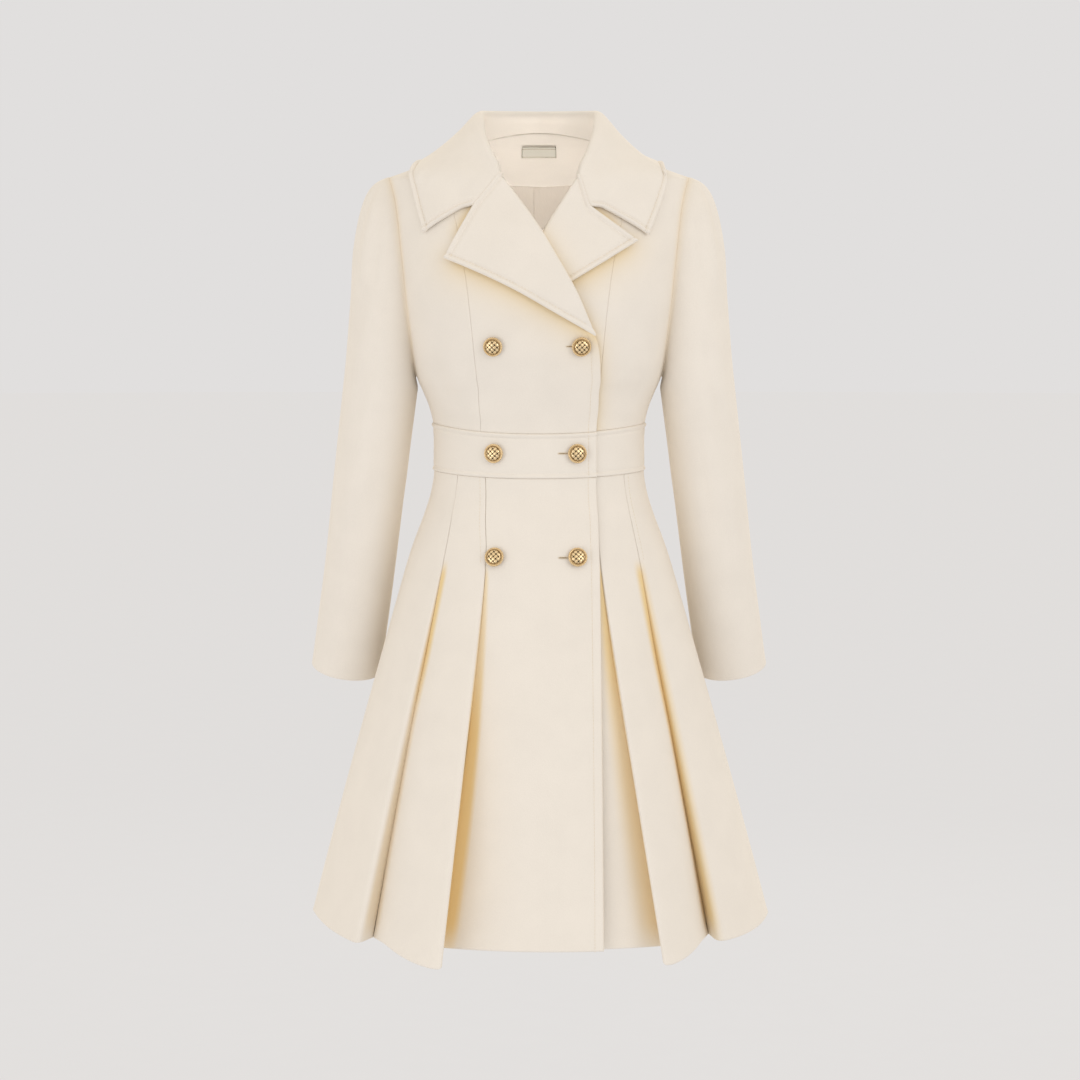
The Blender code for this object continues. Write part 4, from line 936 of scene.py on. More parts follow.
def princess(side):
    """Princess seam of one side as turn and height."""
    x = column(PRINCESS, "share", "x")
    z = column(PRINCESS, "share", "z")

    def edge(v):
        height = z(v)
        turn = turn_at(side * x(v), height)
        low = waist_top(turn) - WAIST_TOP
        return turn, height + low * (1 - v) ** 2

    return edge


def front_edge(plan, waist_x):
    """Front edge below the break and roll line above it, with a soft bend between them."""

    def sharp(v):
        below = np.clip(v / BREAK_SHARE, 0.0, 1.0)
        roll = np.clip((v - BREAK_SHARE) / (1.0 - BREAK_SHARE), 0.0, 1.0)
        foot = waist_top(turn_at(waist_x, WAIST_TOP))
        lower = bend((waist_x, foot), plan.edge_pull, plan.brk, below)
        place = np.where((v < BREAK_SHARE)[..., None], lower, roll_line(plan, roll))
        return turn_at(place[..., 0], place[..., 1]), place[..., 1]

    def edge(v):
        reach = np.minimum(np.minimum(v, 1.0 - v), BREAK_SOFT)
        steps = [np.array(sharp(v + reach * k)) for k in (-1.0, -0.5, 0.0, 0.5, 1.0)]
        return tuple(sum(steps) / len(steps))

    return edge


def waist_run(first, last):
    """Waist seam between two turns."""

    def edge(q):
        turn = first + (last - first) * q
        return turn, waist_top(turn)

    return edge


def front_top(plan):
    """Neckline from the gorge to the neck point, then the shoulder seam to the princess seam."""
    side = plan.side
    neck_x = float(HALF_WIDTH(NECK_SIDE))

    def edge(q):
        neck = np.clip(q / FRONT_NECK, 0.0, 1.0)
        shoulder = np.clip((q - FRONT_NECK) / (1.0 - FRONT_NECK), 0.0, 1.0)
        x = abs(plan.gorge.x) + (neck_x - abs(plan.gorge.x)) * neck
        z = plan.gorge.z + (NECK_SIDE - plan.gorge.z) * neck
        z = np.where(q > FRONT_NECK, NECK_SIDE + (MID_SHOULDER - NECK_SIDE) * shoulder, z)
        turn = np.where(q < FRONT_NECK, turn_at(side * x, z), side * math.pi / 2)
        return turn, z

    return edge


def side_edge(side, front):
    """Side seam up to the underarm, then the front or back of the armhole to the shoulder tip."""

    def edge(v):
        seam = np.clip(v / UNDERARM_SHARE, 0.0, 1.0)
        loop = np.clip((v - UNDERARM_SHARE) / (1.0 - UNDERARM_SHARE), 0.0, 1.0)
        round_turn = math.pi * (1.0 - loop) if front else math.pi * (1.0 + loop)
        round_turn = np.clip(round_turn, LOOP_END, 2 * math.pi - LOOP_END)
        turn, z = armhole(round_turn, side)
        z = np.where(v < UNDERARM_SHARE, WAIST_TOP + (ARMHOLE_BOTTOM - WAIST_TOP) * seam, z)
        turn = np.where(v < UNDERARM_SHARE, side * math.pi / 2, turn)
        return turn, z

    return edge


def shoulder_run(side, first, last):
    """Shoulder seam between two heights."""
    return lambda q: (np.full(np.shape(q), side * math.pi / 2), first + (last - first) * q)


def back_top(side):
    """Back neckline, then the whole shoulder seam."""

    def edge(q):
        neck = np.clip(q / BACK_NECK, 0.0, 1.0)
        shoulder = np.clip((q - BACK_NECK) / (1.0 - BACK_NECK), 0.0, 1.0)
        turn = side * (math.pi - neck * math.pi / 2)
        z = NECK_SIDE + (NECK_BACK - NECK_SIDE) * np.cos(neck * math.pi / 2) ** 2
        z = np.where(q > BACK_NECK, NECK_SIDE + (ARMHOLE_TOP - NECK_SIDE) * shoulder, z)
        return turn, z

    return edge


def centre_back(side):
    """Centre back seam from the waist past the lower edge of the neck facing to the neck."""
    rise = smooth_through((0.0, FACING_SHARE, 1.0), (WAIST_TOP, FACING_LOW, NECK_BACK))
    return lambda v: (np.full(np.shape(v), side * math.pi), rise(v))


def back_panel(side, q, v):
    """Points of one back panel."""
    low = waist_run(side * math.pi, side * math.pi / 2)
    return coons(low, back_top(side), centre_back(side), side_edge(side, False), q, v)


def shoulder_ease(side, q, v):
    """How far easing the shoulder moves one back panel."""
    across = spread(BACK_RUN, NEAR_SEAM, NEAR_SEAM, STEP)
    up = spread(BODICE_RUN, NEAR_SEAM, NEAR_SEAM, STEP)
    grid = back_panel(side, across, up)
    moved = np.moveaxis(round_shoulder(grid) - grid, -1, 0)
    moved = [np.transpose([np.interp(v, up, line) for line in part.T]) for part in moved]
    return np.stack([[np.interp(q, across, line) for line in part] for part in moved], axis=-1)


def across_back(points, q, v):
    """One grid over both backs, from a function of a side and its shares."""
    right, left = points(-1.0, q, v)[:, ::-1], points(1.0, q, v)
    return np.concatenate((right[:, :-1], left), axis=1)


def fold_plan(pleat):
    """Plan point of a pleat's crisp fold at the hem."""
    return np.array((pleat.fold_x, pleat.fold_y))


def valley_plan(pleat):
    """Plan point of a pleat's hidden valley at the hem."""
    return np.array((pleat.valley_x, pleat.valley_y))


def gore_end(name):
    """Turns at waist and release, plan point at the hem and drop of the hem, of one side of a gore."""
    if name.startswith("side"):
        turn = math.pi / 2 if name.endswith("left") else -math.pi / 2
        return turn, turn, np.array((math.copysign(SIDE_HEM[name], turn), 0.0)), 0.0
    if name in FREE_ENDS:
        end = FREE_ENDS[name]
        plan, drop = np.array((end.hem_x, end.hem_y)), 0.0
    else:
        end = PLEATS[name]
        plan, drop = fold_plan(end), end.drop
    waist = float(turn_at(end.waist_x, PLEAT_TOP, end.behind))
    release = float(turn_at(end.release_x, RELEASE, end.behind))
    return waist, release, plan, drop


def near_turn(turn, other):
    """The same turn written within half a circle of another."""
    return other + (turn - other + math.pi) % (2 * math.pi) - math.pi


def seam_turn(hem_gap):
    """Turn left free at a seam above the pleats."""
    return (MEET * 2.0 if hem_gap == TUCK_GAP else MEET) / WAIST_RADIUS


def pleat_inward(pleat):
    """Plan direction from a pleat's seam at the release straight into the coat."""
    turn = turn_at(pleat.release_x, RELEASE, pleat.behind)
    return -unit(body_normal(turn, RELEASE)[:2])


def pleat_slant(pleat):
    """Sideways part of the step from fold to valley at the hem."""
    step = valley_plan(pleat) - fold_plan(pleat)
    inward = pleat_inward(pleat)
    return step - inward * (step @ inward)


def tuck_way(name, plan, belly, gap):
    """Plan direction in which a gore's end at the hem keeps clear of its neighbour."""
    towards = unit(belly - plan)
    if gap != TUCK_GAP:
        return towards
    run = unit(fold_plan(PLEATS[name]) - valley_plan(PLEATS[name]))
    return unit(towards - run * (towards @ run))


def round_fold(row, at, radius):
    """A row of points with the fold at one of them rounded to a radius."""
    fold = row[at].copy()
    before = row[0] - fold
    short = np.linalg.norm(before)
    ahead = lengths(row[at:])
    half = math.acos(float(unit(before) @ unit(row[at + FOLD_AIM] - fold))) / 2
    leg = min(radius * math.cos(half) / math.sin(half) ** 2, FOLD_LEG * short)
    first = fold + before / short * leg
    last = read_line(leg, ahead, row[at:])
    run = np.concatenate((-np.linalg.norm(row[:at] - fold, axis=1), ahead))
    near = np.abs(run) < leg
    row = row.copy()
    row[near] = bend(first, fold, last, (run[near] + leg) / (2 * leg))
    return row


def gore_hem(gore, ends, q):
    """Hem of a gore in plan, and the free gap at each of its ends."""
    belly = np.array((gore.belly_x, gore.belly_y))
    plans, gaps = [], []
    for name, plan, tucked in ends:
        gap = 0.0
        if name.startswith("side"):
            gap = SEAM
        elif tucked and name in PLEATS:
            gap = TUCK_GAP
        plans.append(plan + tuck_way(name, plan, belly, gap) * gap)
        gaps.append(gap)
    return bend(plans[0], belly, plans[1], q), gaps


def pleat_return(pleat, rows, lower, shares):
    """Rows with the return of their pleat before them, from its valley to its fold."""
    upper = len(rows) - len(lower)
    valleys = [row[0, :2] + pleat_inward(pleat) * LIP for row in rows[:upper]]
    for share in lower:
        valley = valleys[upper - 1] * (1 - share) + valley_plan(pleat) * share
        valley = valley - pleat_slant(pleat) * (share - share ** 2)
        valleys.append(valley * (1 + SKIRT_BOW * (share - share ** 2)))
    valley_z = np.concatenate((rows[:upper, 0, 2], RELEASE * (1 - lower) + HEM * lower))
    valleys = np.column_stack((np.array(valleys), valley_z))
    t = shares[None, :, None]
    return np.concatenate((valleys[:, None, :] * (1 - t) + rows[:, :1] * t, rows), axis=1)


def gore_points(gore, upper, lower, q, inward_shares, fold_radius):
    """Outer points of a gore from the waist to the hem, with the return of its pleat first."""
    waist_a, release_a, plan_a, drop = gore_end(gore.start)
    waist_b, release_b, plan_b, _ = gore_end(gore.end)
    waist_b = near_turn(waist_b, waist_a)
    release_b = near_turn(release_b, release_a)
    folded = gore.start in PLEATS and gore.name != "skirt_back_centre"
    if gore.end in PLEATS:
        plan_b = valley_plan(PLEATS[gore.end])
    if gore.start in PLEATS and not folded:
        plan_a, drop = valley_plan(PLEATS[gore.start]), 0.0
    ends = ((gore.start, plan_a, not folded), (gore.end, plan_b, True))
    hem, (gap_a, gap_b) = gore_hem(gore, ends, q)
    droop = 1 - (q / HEM_DROOP_RUN) ** 2
    droop = drop * (droop + np.sqrt(droop ** 2 + HEM_SOFT)) / 2
    hem_z = HEM - droop + SIDE_LIFT.get(gore.end, 0.0) * q ** 2
    rise = lap if gore.laps else level
    way = 1.0 if waist_b > waist_a else -1.0
    rows = []
    for share in upper:
        first = waist_a + (release_a - waist_a) * share + way * seam_turn(gap_a)
        last = waist_b + (release_b - waist_b) * share - way * seam_turn(gap_b)
        turn = first + (last - first) * q
        top = waist_bottom(turn) - MEET
        z = top + (RELEASE - top) * share
        rows.append(body(turn, z) + body_normal(turn, z) * rise(turn, z)[:, None])
    release = rows[-1]
    for share in lower:
        plan = release[:, :2] * (1 - share) + hem * share
        for (name, _, tucked), near in zip(ends, (1 - q, q)):
            if tucked and name in PLEATS:
                plan -= near[:, None] ** SLANT_POWER * pleat_slant(PLEATS[name]) * (share - share ** 2)
        plan *= 1 + SKIRT_BOW * (share - share ** 2)
        rows.append(np.column_stack((plan, RELEASE * (1 - share) + hem_z * share)))
    rows = np.array(rows)
    if not folded:
        return calm_release(rows), 0
    rows = pleat_return(PLEATS[gore.start], rows, lower, inward_shares)
    soft = SOFT_FOLDS.get(gore.start, 0.0) * np.concatenate((np.zeros(len(upper)), lower))
    fold_at = len(inward_shares)
    rows = np.array([round_fold(row, fold_at, fold_radius + more) for row, more in zip(rows, soft)])
    return calm_release(rows), fold_at


def calm_release(rows):
    """Rows of a gore with the change of slope at the height of the releases eased."""
    weight = RELEASE_EASE * np.exp(-(((rows[1:-1, :, 2:] - RELEASE) / RELEASE_REACH) ** 2))
    for _ in range(RELEASE_STEPS):
        middle = (rows[:-2] + rows[2:]) / 2
        rows = rows.copy()
        rows[1:-1] += (middle - rows[1:-1]) * weight
    return rows


def sleeve_ring(psi, share):
    """Point of the sleeve tube between the underarm and the cuff, and its downward direction."""
    places = np.linspace(0.0, 1.0, len(SLEEVE_SECTIONS))

    def track(name, t):
        return smooth_through(places, [getattr(row, name) for row in SLEEVE_SECTIONS])(t)

    def centre(t):
        return np.stack([track(name, t) for name in ("x", "y", "z")], axis=-1)

    before, after = np.maximum(share - SLEEVE_AXIS_STEP, 0.0), np.minimum(share + SLEEVE_AXIS_STEP, 1.0)
    down = unit(centre(after) - centre(before))
    across = unit(np.array((1.0, 0.0, 0.0)) - down * down[..., :1])
    wide = (track("half_width", share) * np.cos(psi))[..., None]
    deep = (track("half_depth", share) * np.sin(psi))[..., None]
    return centre(share) + across * wide + np.cross(across, down) * deep, down


def sleeve(psi, share):
    """Left sleeve: share 0 at the armhole, 1 at the underarm ring, 2 at the cuff."""
    psi, share = np.broadcast_arrays(psi, share)
    ring, down = sleeve_ring(psi, np.clip(share - 1.0, 0.0, 1.0))
    start = body(*armhole(np.mod(-psi, 2 * math.pi), 1.0, CAP_SEAM))
    crown = (1.0 + np.cos(psi)) / 2.0
    lead = CAP_LEAST + CAP_RISE * crown ** 2
    aim = np.stack((CAP_AIM + (1.0 - CAP_AIM) * crown, CAP_AIM * np.sin(psi), 0.0 * psi), axis=-1)
    arrive = down * np.linalg.norm(ring - start, axis=-1, keepdims=True) * CAP_FALL
    cap = hermite(np.clip(share, 0.0, 1.0)[..., None], start, ring, unit(aim) * lead[..., None], arrive)
    return np.where(share[..., None] < 1.0, cap, ring)


def sleeve_normal(psi, share):
    """Outward direction of the sleeve, matching the body at the armhole."""
    psi, share = np.broadcast_arrays(psi, share)
    around = sleeve(psi + SLEEVE_TURN_STEP, share) - sleeve(psi - SLEEVE_TURN_STEP, share)
    before, after = np.maximum(share - SLEEVE_SHARE_STEP, 0.0), np.minimum(share + SLEEVE_SHARE_STEP, 2.0)
    own = unit(np.cross(sleeve(psi, after) - sleeve(psi, before), around))
    turn, z = armhole(np.mod(-psi, 2 * math.pi), 1.0, CAP_SEAM)
    blend = ease(share / CAP_BLEND)[..., None]
    return unit(body_normal(turn, z) * (1 - blend) + own * blend)


def fold_lift(psi, share):
    """How far the listed folds lift the sleeve; psi in degrees."""
    lift = np.zeros(np.broadcast(psi, share).shape)
    for fold in SLEEVE_FOLDS:
        run_psi = fold.psi1 - fold.psi0
        run_share = (fold.share1 - fold.share0) * FOLD_DEGREES
        away_psi = psi - fold.psi0
        away_share = (share - fold.share0) * FOLD_DEGREES
        t = (away_psi * run_psi + away_share * run_share) / (run_psi ** 2 + run_share ** 2)
        near = np.clip(t, 0.0, 1.0)
        away = (away_psi - near * run_psi) ** 2 + (away_share - near * run_share) ** 2
        lift = lift + fold.height * taper(t, FOLD_BLUNT) * np.exp(-away / fold.width ** 2)
    return lift * ease(share / FOLD_START)


def shade_near(points, line, shade, fade=1.0):
    """Painted warm shade that fades away from a line drawn in the front view."""
    away = np.linalg.norm(points[:, :, None, ::2] - line, axis=-1)
    return (shade.strength * fade * np.exp(-away / shade.soft)).max(axis=-1)


def over_body(x, z, rise, offset):
    """Front-view point laid on the front of the coat at an offset."""
    turn = turn_at(x, z)
    return body(turn, z) + body_normal(turn, z) * (rise(turn, z) + offset)[..., None]


def run_out(share):
    """Share of a lapel's thickness that is left towards the break, where it runs out into the front edge."""
    return LAPEL_THIN + (1.0 - LAPEL_THIN) * ease(share / LAPEL_THIN_RUN)


def notch_share(plan):
    """Share of a lapel's top edge at which its notch lies, and the step from the edge out to the notch."""
    gorge, notch = np.array(plan.gorge), np.array(plan.notch)
    chord = np.array(plan.tip) - gorge
    at = float((notch - gorge) @ chord / (chord @ chord))
    return at, notch - (gorge + chord * at)


def lapel_points(plan, rise, share, q):
    """Middle of a lapel's cloth, from the hook round the roll line out to the lapel's edge."""
    roll = roll_line(plan, share)
    lower = lower_line(plan, share)
    at, kink = notch_share(plan)
    tent = np.where(q < at, q / at, (1 - q) / (1 - at))
    flat = roll[:, None, :] + (lower - roll)[:, None, :] * q[None, :, None]
    flat = flat + kink * tent[None, :, None] * (share ** 4)[:, None, None]
    bloom = ease(share / LAPEL_BLOOM_RUN)
    thin = run_out(share)
    top = (LAPEL_OVER + LAPEL / 2 + ROLL_OVER) * thin + LAPEL_BLOOM * bloom
    low = (LAPEL_OVER + LAPEL / 2) * thin + LAPEL_LIFT * bloom
    lie = low[:, None] + (top - low)[:, None] * ((1 - q) ** 3)[None, :]
    sheet = over_body(flat[..., 0], flat[..., 1], rise, lie)
    root = over_body(roll[:, 0], roll[:, 1], rise, np.zeros(len(share)))
    normal = body_normal(turn_at(roll[:, 0], roll[:, 1]), roll[:, 1])
    out = sheet[:, 3] - sheet[:, 0]
    out = unit(out - normal * (out * normal).sum(axis=1, keepdims=True))
    radius = (LAPEL_ROLL * thin + LAPEL_BLOOM / 2 * bloom)[:, None]
    set_out = ((LAPEL_ROLL + HOOK_SET) * thin)[:, None]
    hook = []
    for angle in np.radians(np.linspace(*HOOK_TURN, HOOK_COLS)):
        lift = top[:, None] - radius + radius * math.sin(angle)
        hook.append(root + normal * lift + out * (radius * math.cos(angle) + radius - set_out))
    return np.concatenate((np.stack(hook, axis=1), sheet), axis=1)


def overlap_line():
    """Front-view line where the right front lies on the left: its roll, then its free edge."""
    share = np.linspace(0.0, 1.0, LINE_POINTS)
    edge = body(*front_edge(RIGHT_FRONT, EDGE_WAIST_X)(share * BREAK_SHARE))[:, ::2]
    return np.concatenate((edge, roll_line(RIGHT_FRONT, share)))


def gorge_line(plan, rise):
    """Gorge seam just under the top edge of a lapel, from its roll to the notch, in steps of even length."""
    q = np.linspace(0.0, notch_share(plan)[0], GORGE_COLS)
    line = lapel_points(plan, rise, np.array(GORGE_ROWS), q)[-1, GORGE_FIRST:]
    run = lengths(line)
    return read_line(np.linspace(0.0, run[-1], LINE_POINTS), run, line)


def neckline(share, side):
    """Neck seam as turn and height, from the centre back past the neck point to the gorge."""
    behind = np.clip(share / NECK_POINT, 0.0, 1.0)
    ahead = np.clip((share - NECK_POINT) / (1.0 - NECK_POINT), 0.0, 1.0)
    gorge = RIGHT_FRONT.gorge
    x = float(HALF_WIDTH(NECK_SIDE)) * (1 - ahead) + abs(gorge.x) * ahead
    front_z = NECK_SIDE + (gorge.z - NECK_SIDE) * ahead
    back_z = NECK_SIDE + (NECK_BACK - NECK_SIDE) * np.cos(behind * math.pi / 2) ** 2
    z = np.where(share < NECK_POINT, back_z, front_z)
    turn = np.where(share < NECK_POINT, math.pi - behind * math.pi / 2, turn_at(x, front_z))
    return side * turn, z


def lie_clear(points, side, clearance, hug=False):
    """Points pushed out until they lie clear of the coat beneath, or drawn right down to it."""
    points = points.copy()
    for _ in range(CLEAR_STEPS):
        far, direction = outside(points)
        turn = turn_at(points[..., 0], points[..., 2])
        rise = lap(turn, points[..., 2]) if side < 0 else 0.0
        rise = np.where(points[..., 1] < 0, rise, 0.0)
        short = clearance + rise - far
        if not hug:
            short = np.maximum(short, 0.0)
        points += direction * np.clip(short, -CLEAR_MOST, CLEAR_MOST)[..., None]
    return points


def collar_half(plan):
    """Middle of the collar cloth for one half, from the centre back to the gorge."""
    side = plan.side
    rise = lap if side < 0 else level
    share = np.linspace(0.0, COLLAR_END, COLLAR_ROWS)

    def track(name):
        return column(COLLAR_STATIONS, "share", name)(share)

    lay = track("lay")[:, None]
    roll = np.stack((side * track("roll_x"), track("roll_y"), track("roll_z")), axis=-1)
    edge_x = track("edge_x") + (abs(plan.collar_tip.x) - COLLAR_STATIONS[-1].edge_x) * lay[:, 0] ** 2
    edge_z = track("edge_z") + (plan.collar_tip.z - COLLAR_STATIONS[-1].edge_z) * lay[:, 0] ** 2
    edge_z = edge_z - plan.corner_drop * np.exp(-((share - NECK_POINT) / CORNER_RUN) ** 2)
    edge_turn = np.where(share < COLLAR_TURN, turn_at(edge_x, edge_z, 1), turn_at(edge_x, edge_z))
    edge = body(side * edge_turn, edge_z)
    turn, z = neckline(share, side)
    normal = body_normal(turn, z)
    seam = body(turn, z)
    away = unit(np.cross(normal, np.gradient(seam, axis=0)))
    away = away * np.sign(away[:, 2:])
    neck = seam + normal * NECK_SET + away * (NECK_GAP + (COLLAR_ROLL - NECK_GAP) * lay)
    end = seam[-1]
    roll[-1] = over_body(end[0], end[2], rise, np.array(OVER + COLLAR / 2 + ROLL_OVER))
    along = unit(np.gradient(roll, axis=0))
    along[0] = (side, 0.0, 0.0)
    up = unit(np.array((0.0, 0.0, 1.0)) * (1 - lay) + normal * lay)
    out = unit(np.cross(up, along)) * side
    up = unit(np.cross(along, out)) * side
    kink_end = over_body(*np.array(plan.collar_notch), rise, np.array(NOTCH_LIFT))
    rows = []
    for k in range(len(share)):
        centre = roll[k] - up[k] * COLLAR_ROLL
        fall = edge[k] - centre
        finish = math.atan2(max(fall @ out[k], LEAST_FALL), -(fall @ up[k]))
        arc = []
        for angle in np.linspace(math.pi, max(finish, LEAST_TURN), ROLL_STEPS):
            arc.append(centre + (out[k] * math.cos(angle) + up[k] * math.sin(angle)) * COLLAR_ROLL)
        stand = [neck[k] * (1 - t) + arc[0] * t for t in (0.0, 0.5)]
        chord = edge[k] - arc[-1]
        at = float((kink_end - arc[-1]) @ chord / (chord @ chord))
        kink = (kink_end - arc[-1] - chord * at) * float(lay[k, 0]) ** 6
        drape = []
        for t in np.linspace(0.0, 1.0, COLLAR_COLS)[1:]:
            tent = t / at if t < at else (1 - t) / (1 - at)
            drape.append(arc[-1] + chord * t + kink * max(tent, 0.0))
        drape = lie_clear(np.array(drape), side, COLLAR_CLEAR + COLLAR / 2)
        rows.append(np.concatenate((np.array(stand + arc), drape)))
    return np.array(rows)


def settle(middle, first):
    """Let the fall of the collar relax over the shoulders without sinking into the coat."""
    last = middle.shape[1] - 1
    middle = middle.copy()
    count = middle.shape[0]
    right = np.arange(count) < count // 2
    for _ in range(SETTLE_STEPS):
        calm = middle.copy()
        rows = (middle[:-2] + middle[2:]) / 2
        calm[1:-1, last] = (middle[1:-1, last] + rows[:, last]) / 2
        across = (middle[:, first - 1:last - 1] + middle[:, first + 1:last + 1]) / 2
        calm[1:-1, first:last] = (rows[:, first:last] + across[1:-1]) / 2
        for half, side in ((right, -1.0), (~right, 1.0)):
            calm[half, first:] = lie_clear(calm[half, first:], side, COLLAR_CLEAR + COLLAR / 2)
            calm[half, last] = lie_clear(calm[half, last], side, COLLAR_CLEAR + COLLAR / 2, True)
        middle = calm
    return middle


def set_inputs(tree, item, inputs):
    """Give a node's sockets, by name or number, a value or the output of another node."""
    for key, value in inputs.items():
        if isinstance(value, bpy.types.NodeSocket):
            tree.links.new(value, item.inputs[key])
        else:
            item.inputs[key].default_value = value


def add(tree, kind, inputs=None, **settings):
    """Add a node with its settings and its inputs."""
    item = tree.nodes.new(kind)
    for key, value in settings.items():
        setattr(item, key, value)
    set_inputs(tree, item, inputs or {})
    return item


def per_mm(size):
    """Texture scale that gives a feature of this many millimetres."""
    return 1000.0 / size


def noise(tree, place, size, detail=2.0, roughness=0.5):
    """Uneven grain with features of this many millimetres."""
    inputs = {"Vector": place, "Scale": per_mm(size), "Detail": detail, "Roughness": roughness}
    return add(tree, "ShaderNodeTexNoise", inputs).outputs["Fac"]


def mix(tree, factor, first, second):
    """Colour between two colours."""
    node = add(tree, "ShaderNodeMix", {"Factor": factor, 6: first, 7: second}, data_type="RGBA")
    return node.outputs[2]


def calculate(tree, operation, *values):
    """Result of a sum on values or outputs."""
    return add(tree, "ShaderNodeMath", dict(enumerate(values)), operation=operation).outputs[0]


def ranged(tree, value, low, high):
    """A value from 0 to 1 as one from low to high."""
    return add(tree, "ShaderNodeMapRange", {"Value": value, "To Min": low, "To Max": high}).outputs[0]


def relief(tree, height, strength, distance):
    """Surface direction roughened by a height."""
    inputs = {"Height": height, "Strength": strength, "Distance": distance}
    return add(tree, "ShaderNodeBump", inputs).outputs[0]


def place_on(tree, kind):
    """Places on the piece itself or on its flat cut, in metres."""
    return add(tree, "ShaderNodeTexCoord").outputs[kind]


def share_of(colour, share):
    """A colour with this share of its light."""
    return [min(c * share, 1.0) for c in colour[:3]] + [1.0]


def felted_wool(tree, colours):
    """Felted wool coating: short milled nap, matte with a soft bloom at grazing angles, with warm shade
    painted inside folds.
    """
    place = place_on(tree, "Object")
    # Nap is 0.3 mm in the cloth and is drawn at 1.4 mm so that it shows
    nap = noise(tree, place, 1.4, 3.0, 0.6)
    tone = calculate(tree, "ADD", nap, noise(tree, place, 38.0))
    mottle = add(tree, "ShaderNodeMapRange", {"Value": tone, "From Min": 0.6, "From Max": 1.4}).outputs[0]
    base = mix(tree, mottle, share_of(colours.wool, 0.965), share_of(colours.wool, 1.02))
    # Painted warm shade: the fold attribute mixes the wool towards a deep golden colour
    deep = add(tree, "ShaderNodeAttribute", attribute_name="fold").outputs["Fac"]
    return {
        "Base Color": mix(tree, deep, base, list(colours.wool_painted_shade)),
        "Normal": relief(tree, nap, 0.22, 0.0006),
        "Roughness": 0.92,
        "Specular IOR Level": 0.25,
        "Sheen Weight": 0.42,
        "Sheen Roughness": 0.55,
        "Sheen Tint": linear("#fff4e2"),
    }


def satin_lining(tree, colours):
    """Satin lining: fine floating warp threads that catch a soft streaked shine."""
    # Warp threads are 0.12 mm apart and are drawn 0.6 mm wide and 9 mm long so that they show
    scale = (per_mm(0.6), per_mm(9.0), 1.0)
    threads = add(tree, "ShaderNodeMapping", {"Vector": place_on(tree, "UV"), "Scale": scale}).outputs[0]
    warp = add(tree, "ShaderNodeTexNoise", {"Vector": threads, "Scale": 1.0, "Detail": 2.0}).outputs["Fac"]
    return {
        "Base Color": mix(tree, warp, share_of(colours.satin, 0.86), list(colours.satin)),
        "Roughness": ranged(tree, warp, 0.46, 0.34),
        "Normal": relief(tree, warp, 0.12, 0.0003),
        "Specular IOR Level": 0.45,
        "Sheen Weight": 0.12,
    }


def label_tape(tree, colours):
    """Woven label tape: plain weave with a fine darker line along each long edge and nothing else on it."""
    place = place_on(tree, "UV")
    # Tape weave is 0.35 mm and is drawn at 0.8 mm so that it shows
    inputs = {"Vector": place, "Scale": per_mm(0.8) / 6.0, "Distortion": 0.4}
    rib, pick = (
        add(tree, "ShaderNodeTexWave", inputs, bands_direction=way).outputs["Fac"] for way in ("X", "Y")
    )
    weave = calculate(tree, "MULTIPLY", rib, pick)
    along = add(tree, "ShaderNodeSeparateXYZ", {"Vector": place}).outputs["Y"]
    away = calculate(tree, "ABSOLUTE", calculate(tree, "SUBTRACT", along, LABEL_HEIGHT / 2))
    line = calculate(tree, "COMPARE", away, LABEL_HEIGHT / 2 - LABEL_LINE, LABEL_LINE_HALF)
    cloth = mix(tree, weave, share_of(colours.tape, 0.93), list(colours.tape))
    return {
        "Base Color": mix(tree, line, cloth, linear("#a8977f")),
        "Normal": relief(tree, weave, 0.3, 0.0003),
        "Roughness": 0.6,
    }


def cotton_thread(tree, colours):
    """Twisted cotton thread: two plies that lie slantwise and give a broken, slightly silky line."""
    ply = noise(tree, place_on(tree, "Object"), 0.5, 1.0)
    return {
        "Base Color": mix(tree, ply, share_of(colours.thread, 0.88), list(colours.thread)),
        "Normal": relief(tree, ply, 0.3, 0.0002),
        "Roughness": 0.6,
        "Sheen Weight": 0.1,
    }


def plated_brass(tree, colours):
    """Gold-plated brass, pressed and buffed bright: plain gold on the high spots, with shade painted dark
    into its hollows.
    """
    # Painted shade: the relief attribute darkens the gold towards deep brown in the hollows
    polish = add(tree, "ShaderNodeAttribute", attribute_name="relief").outputs["Fac"]
    rub = noise(tree, place_on(tree, "Object"), 0.9, 3.0)
    return {
        "Base Color": mix(tree, polish, list(colours.gold_painted_shade), list(colours.gold)),
        "Roughness": ranged(tree, rub, 0.18, 0.36),
        "Normal": relief(tree, rub, 0.06, 0.0002),
        "Metallic": 1.0,
    }


def buttonhole_slit(tree, _colours):
    """Open slit of a buttonhole: a sheet painted dark as the shade between its two lips."""
    fray = noise(tree, place_on(tree, "Object"), 0.8)
    return {"Base Color": mix(tree, fray, linear("#6b5232"), linear("#a58a60")), "Roughness": 0.95}


def studio_paper(tree, colours):
    """Matte paper floor of a photo studio, all but even in tone."""
    fibre = noise(tree, place_on(tree, "Object"), 60.0, 3.0)
    return {
        "Base Color": mix(tree, fibre, linear("#575655"), linear("#5b5a59")),
        "Roughness": 1.0,
        "Specular IOR Level": 0.0,
        # Light coming through the paper keeps it as pale as the studio air behind
        "Emission Color": colours.backdrop,
        "Emission Strength": 0.88,
    }


FINISHES = {
    "wool": ("Felted wool coating", felted_wool),
    "satin": ("Woven satin lining", satin_lining),
    "tape": ("Woven label tape", label_tape),
    "thread": ("Twisted cotton thread", cotton_thread),
    "gold": ("Gold plated brass", plated_brass),
    "slit": ("Buttonhole slit", buttonhole_slit),
    "paper": ("Matte studio paper", studio_paper),
}


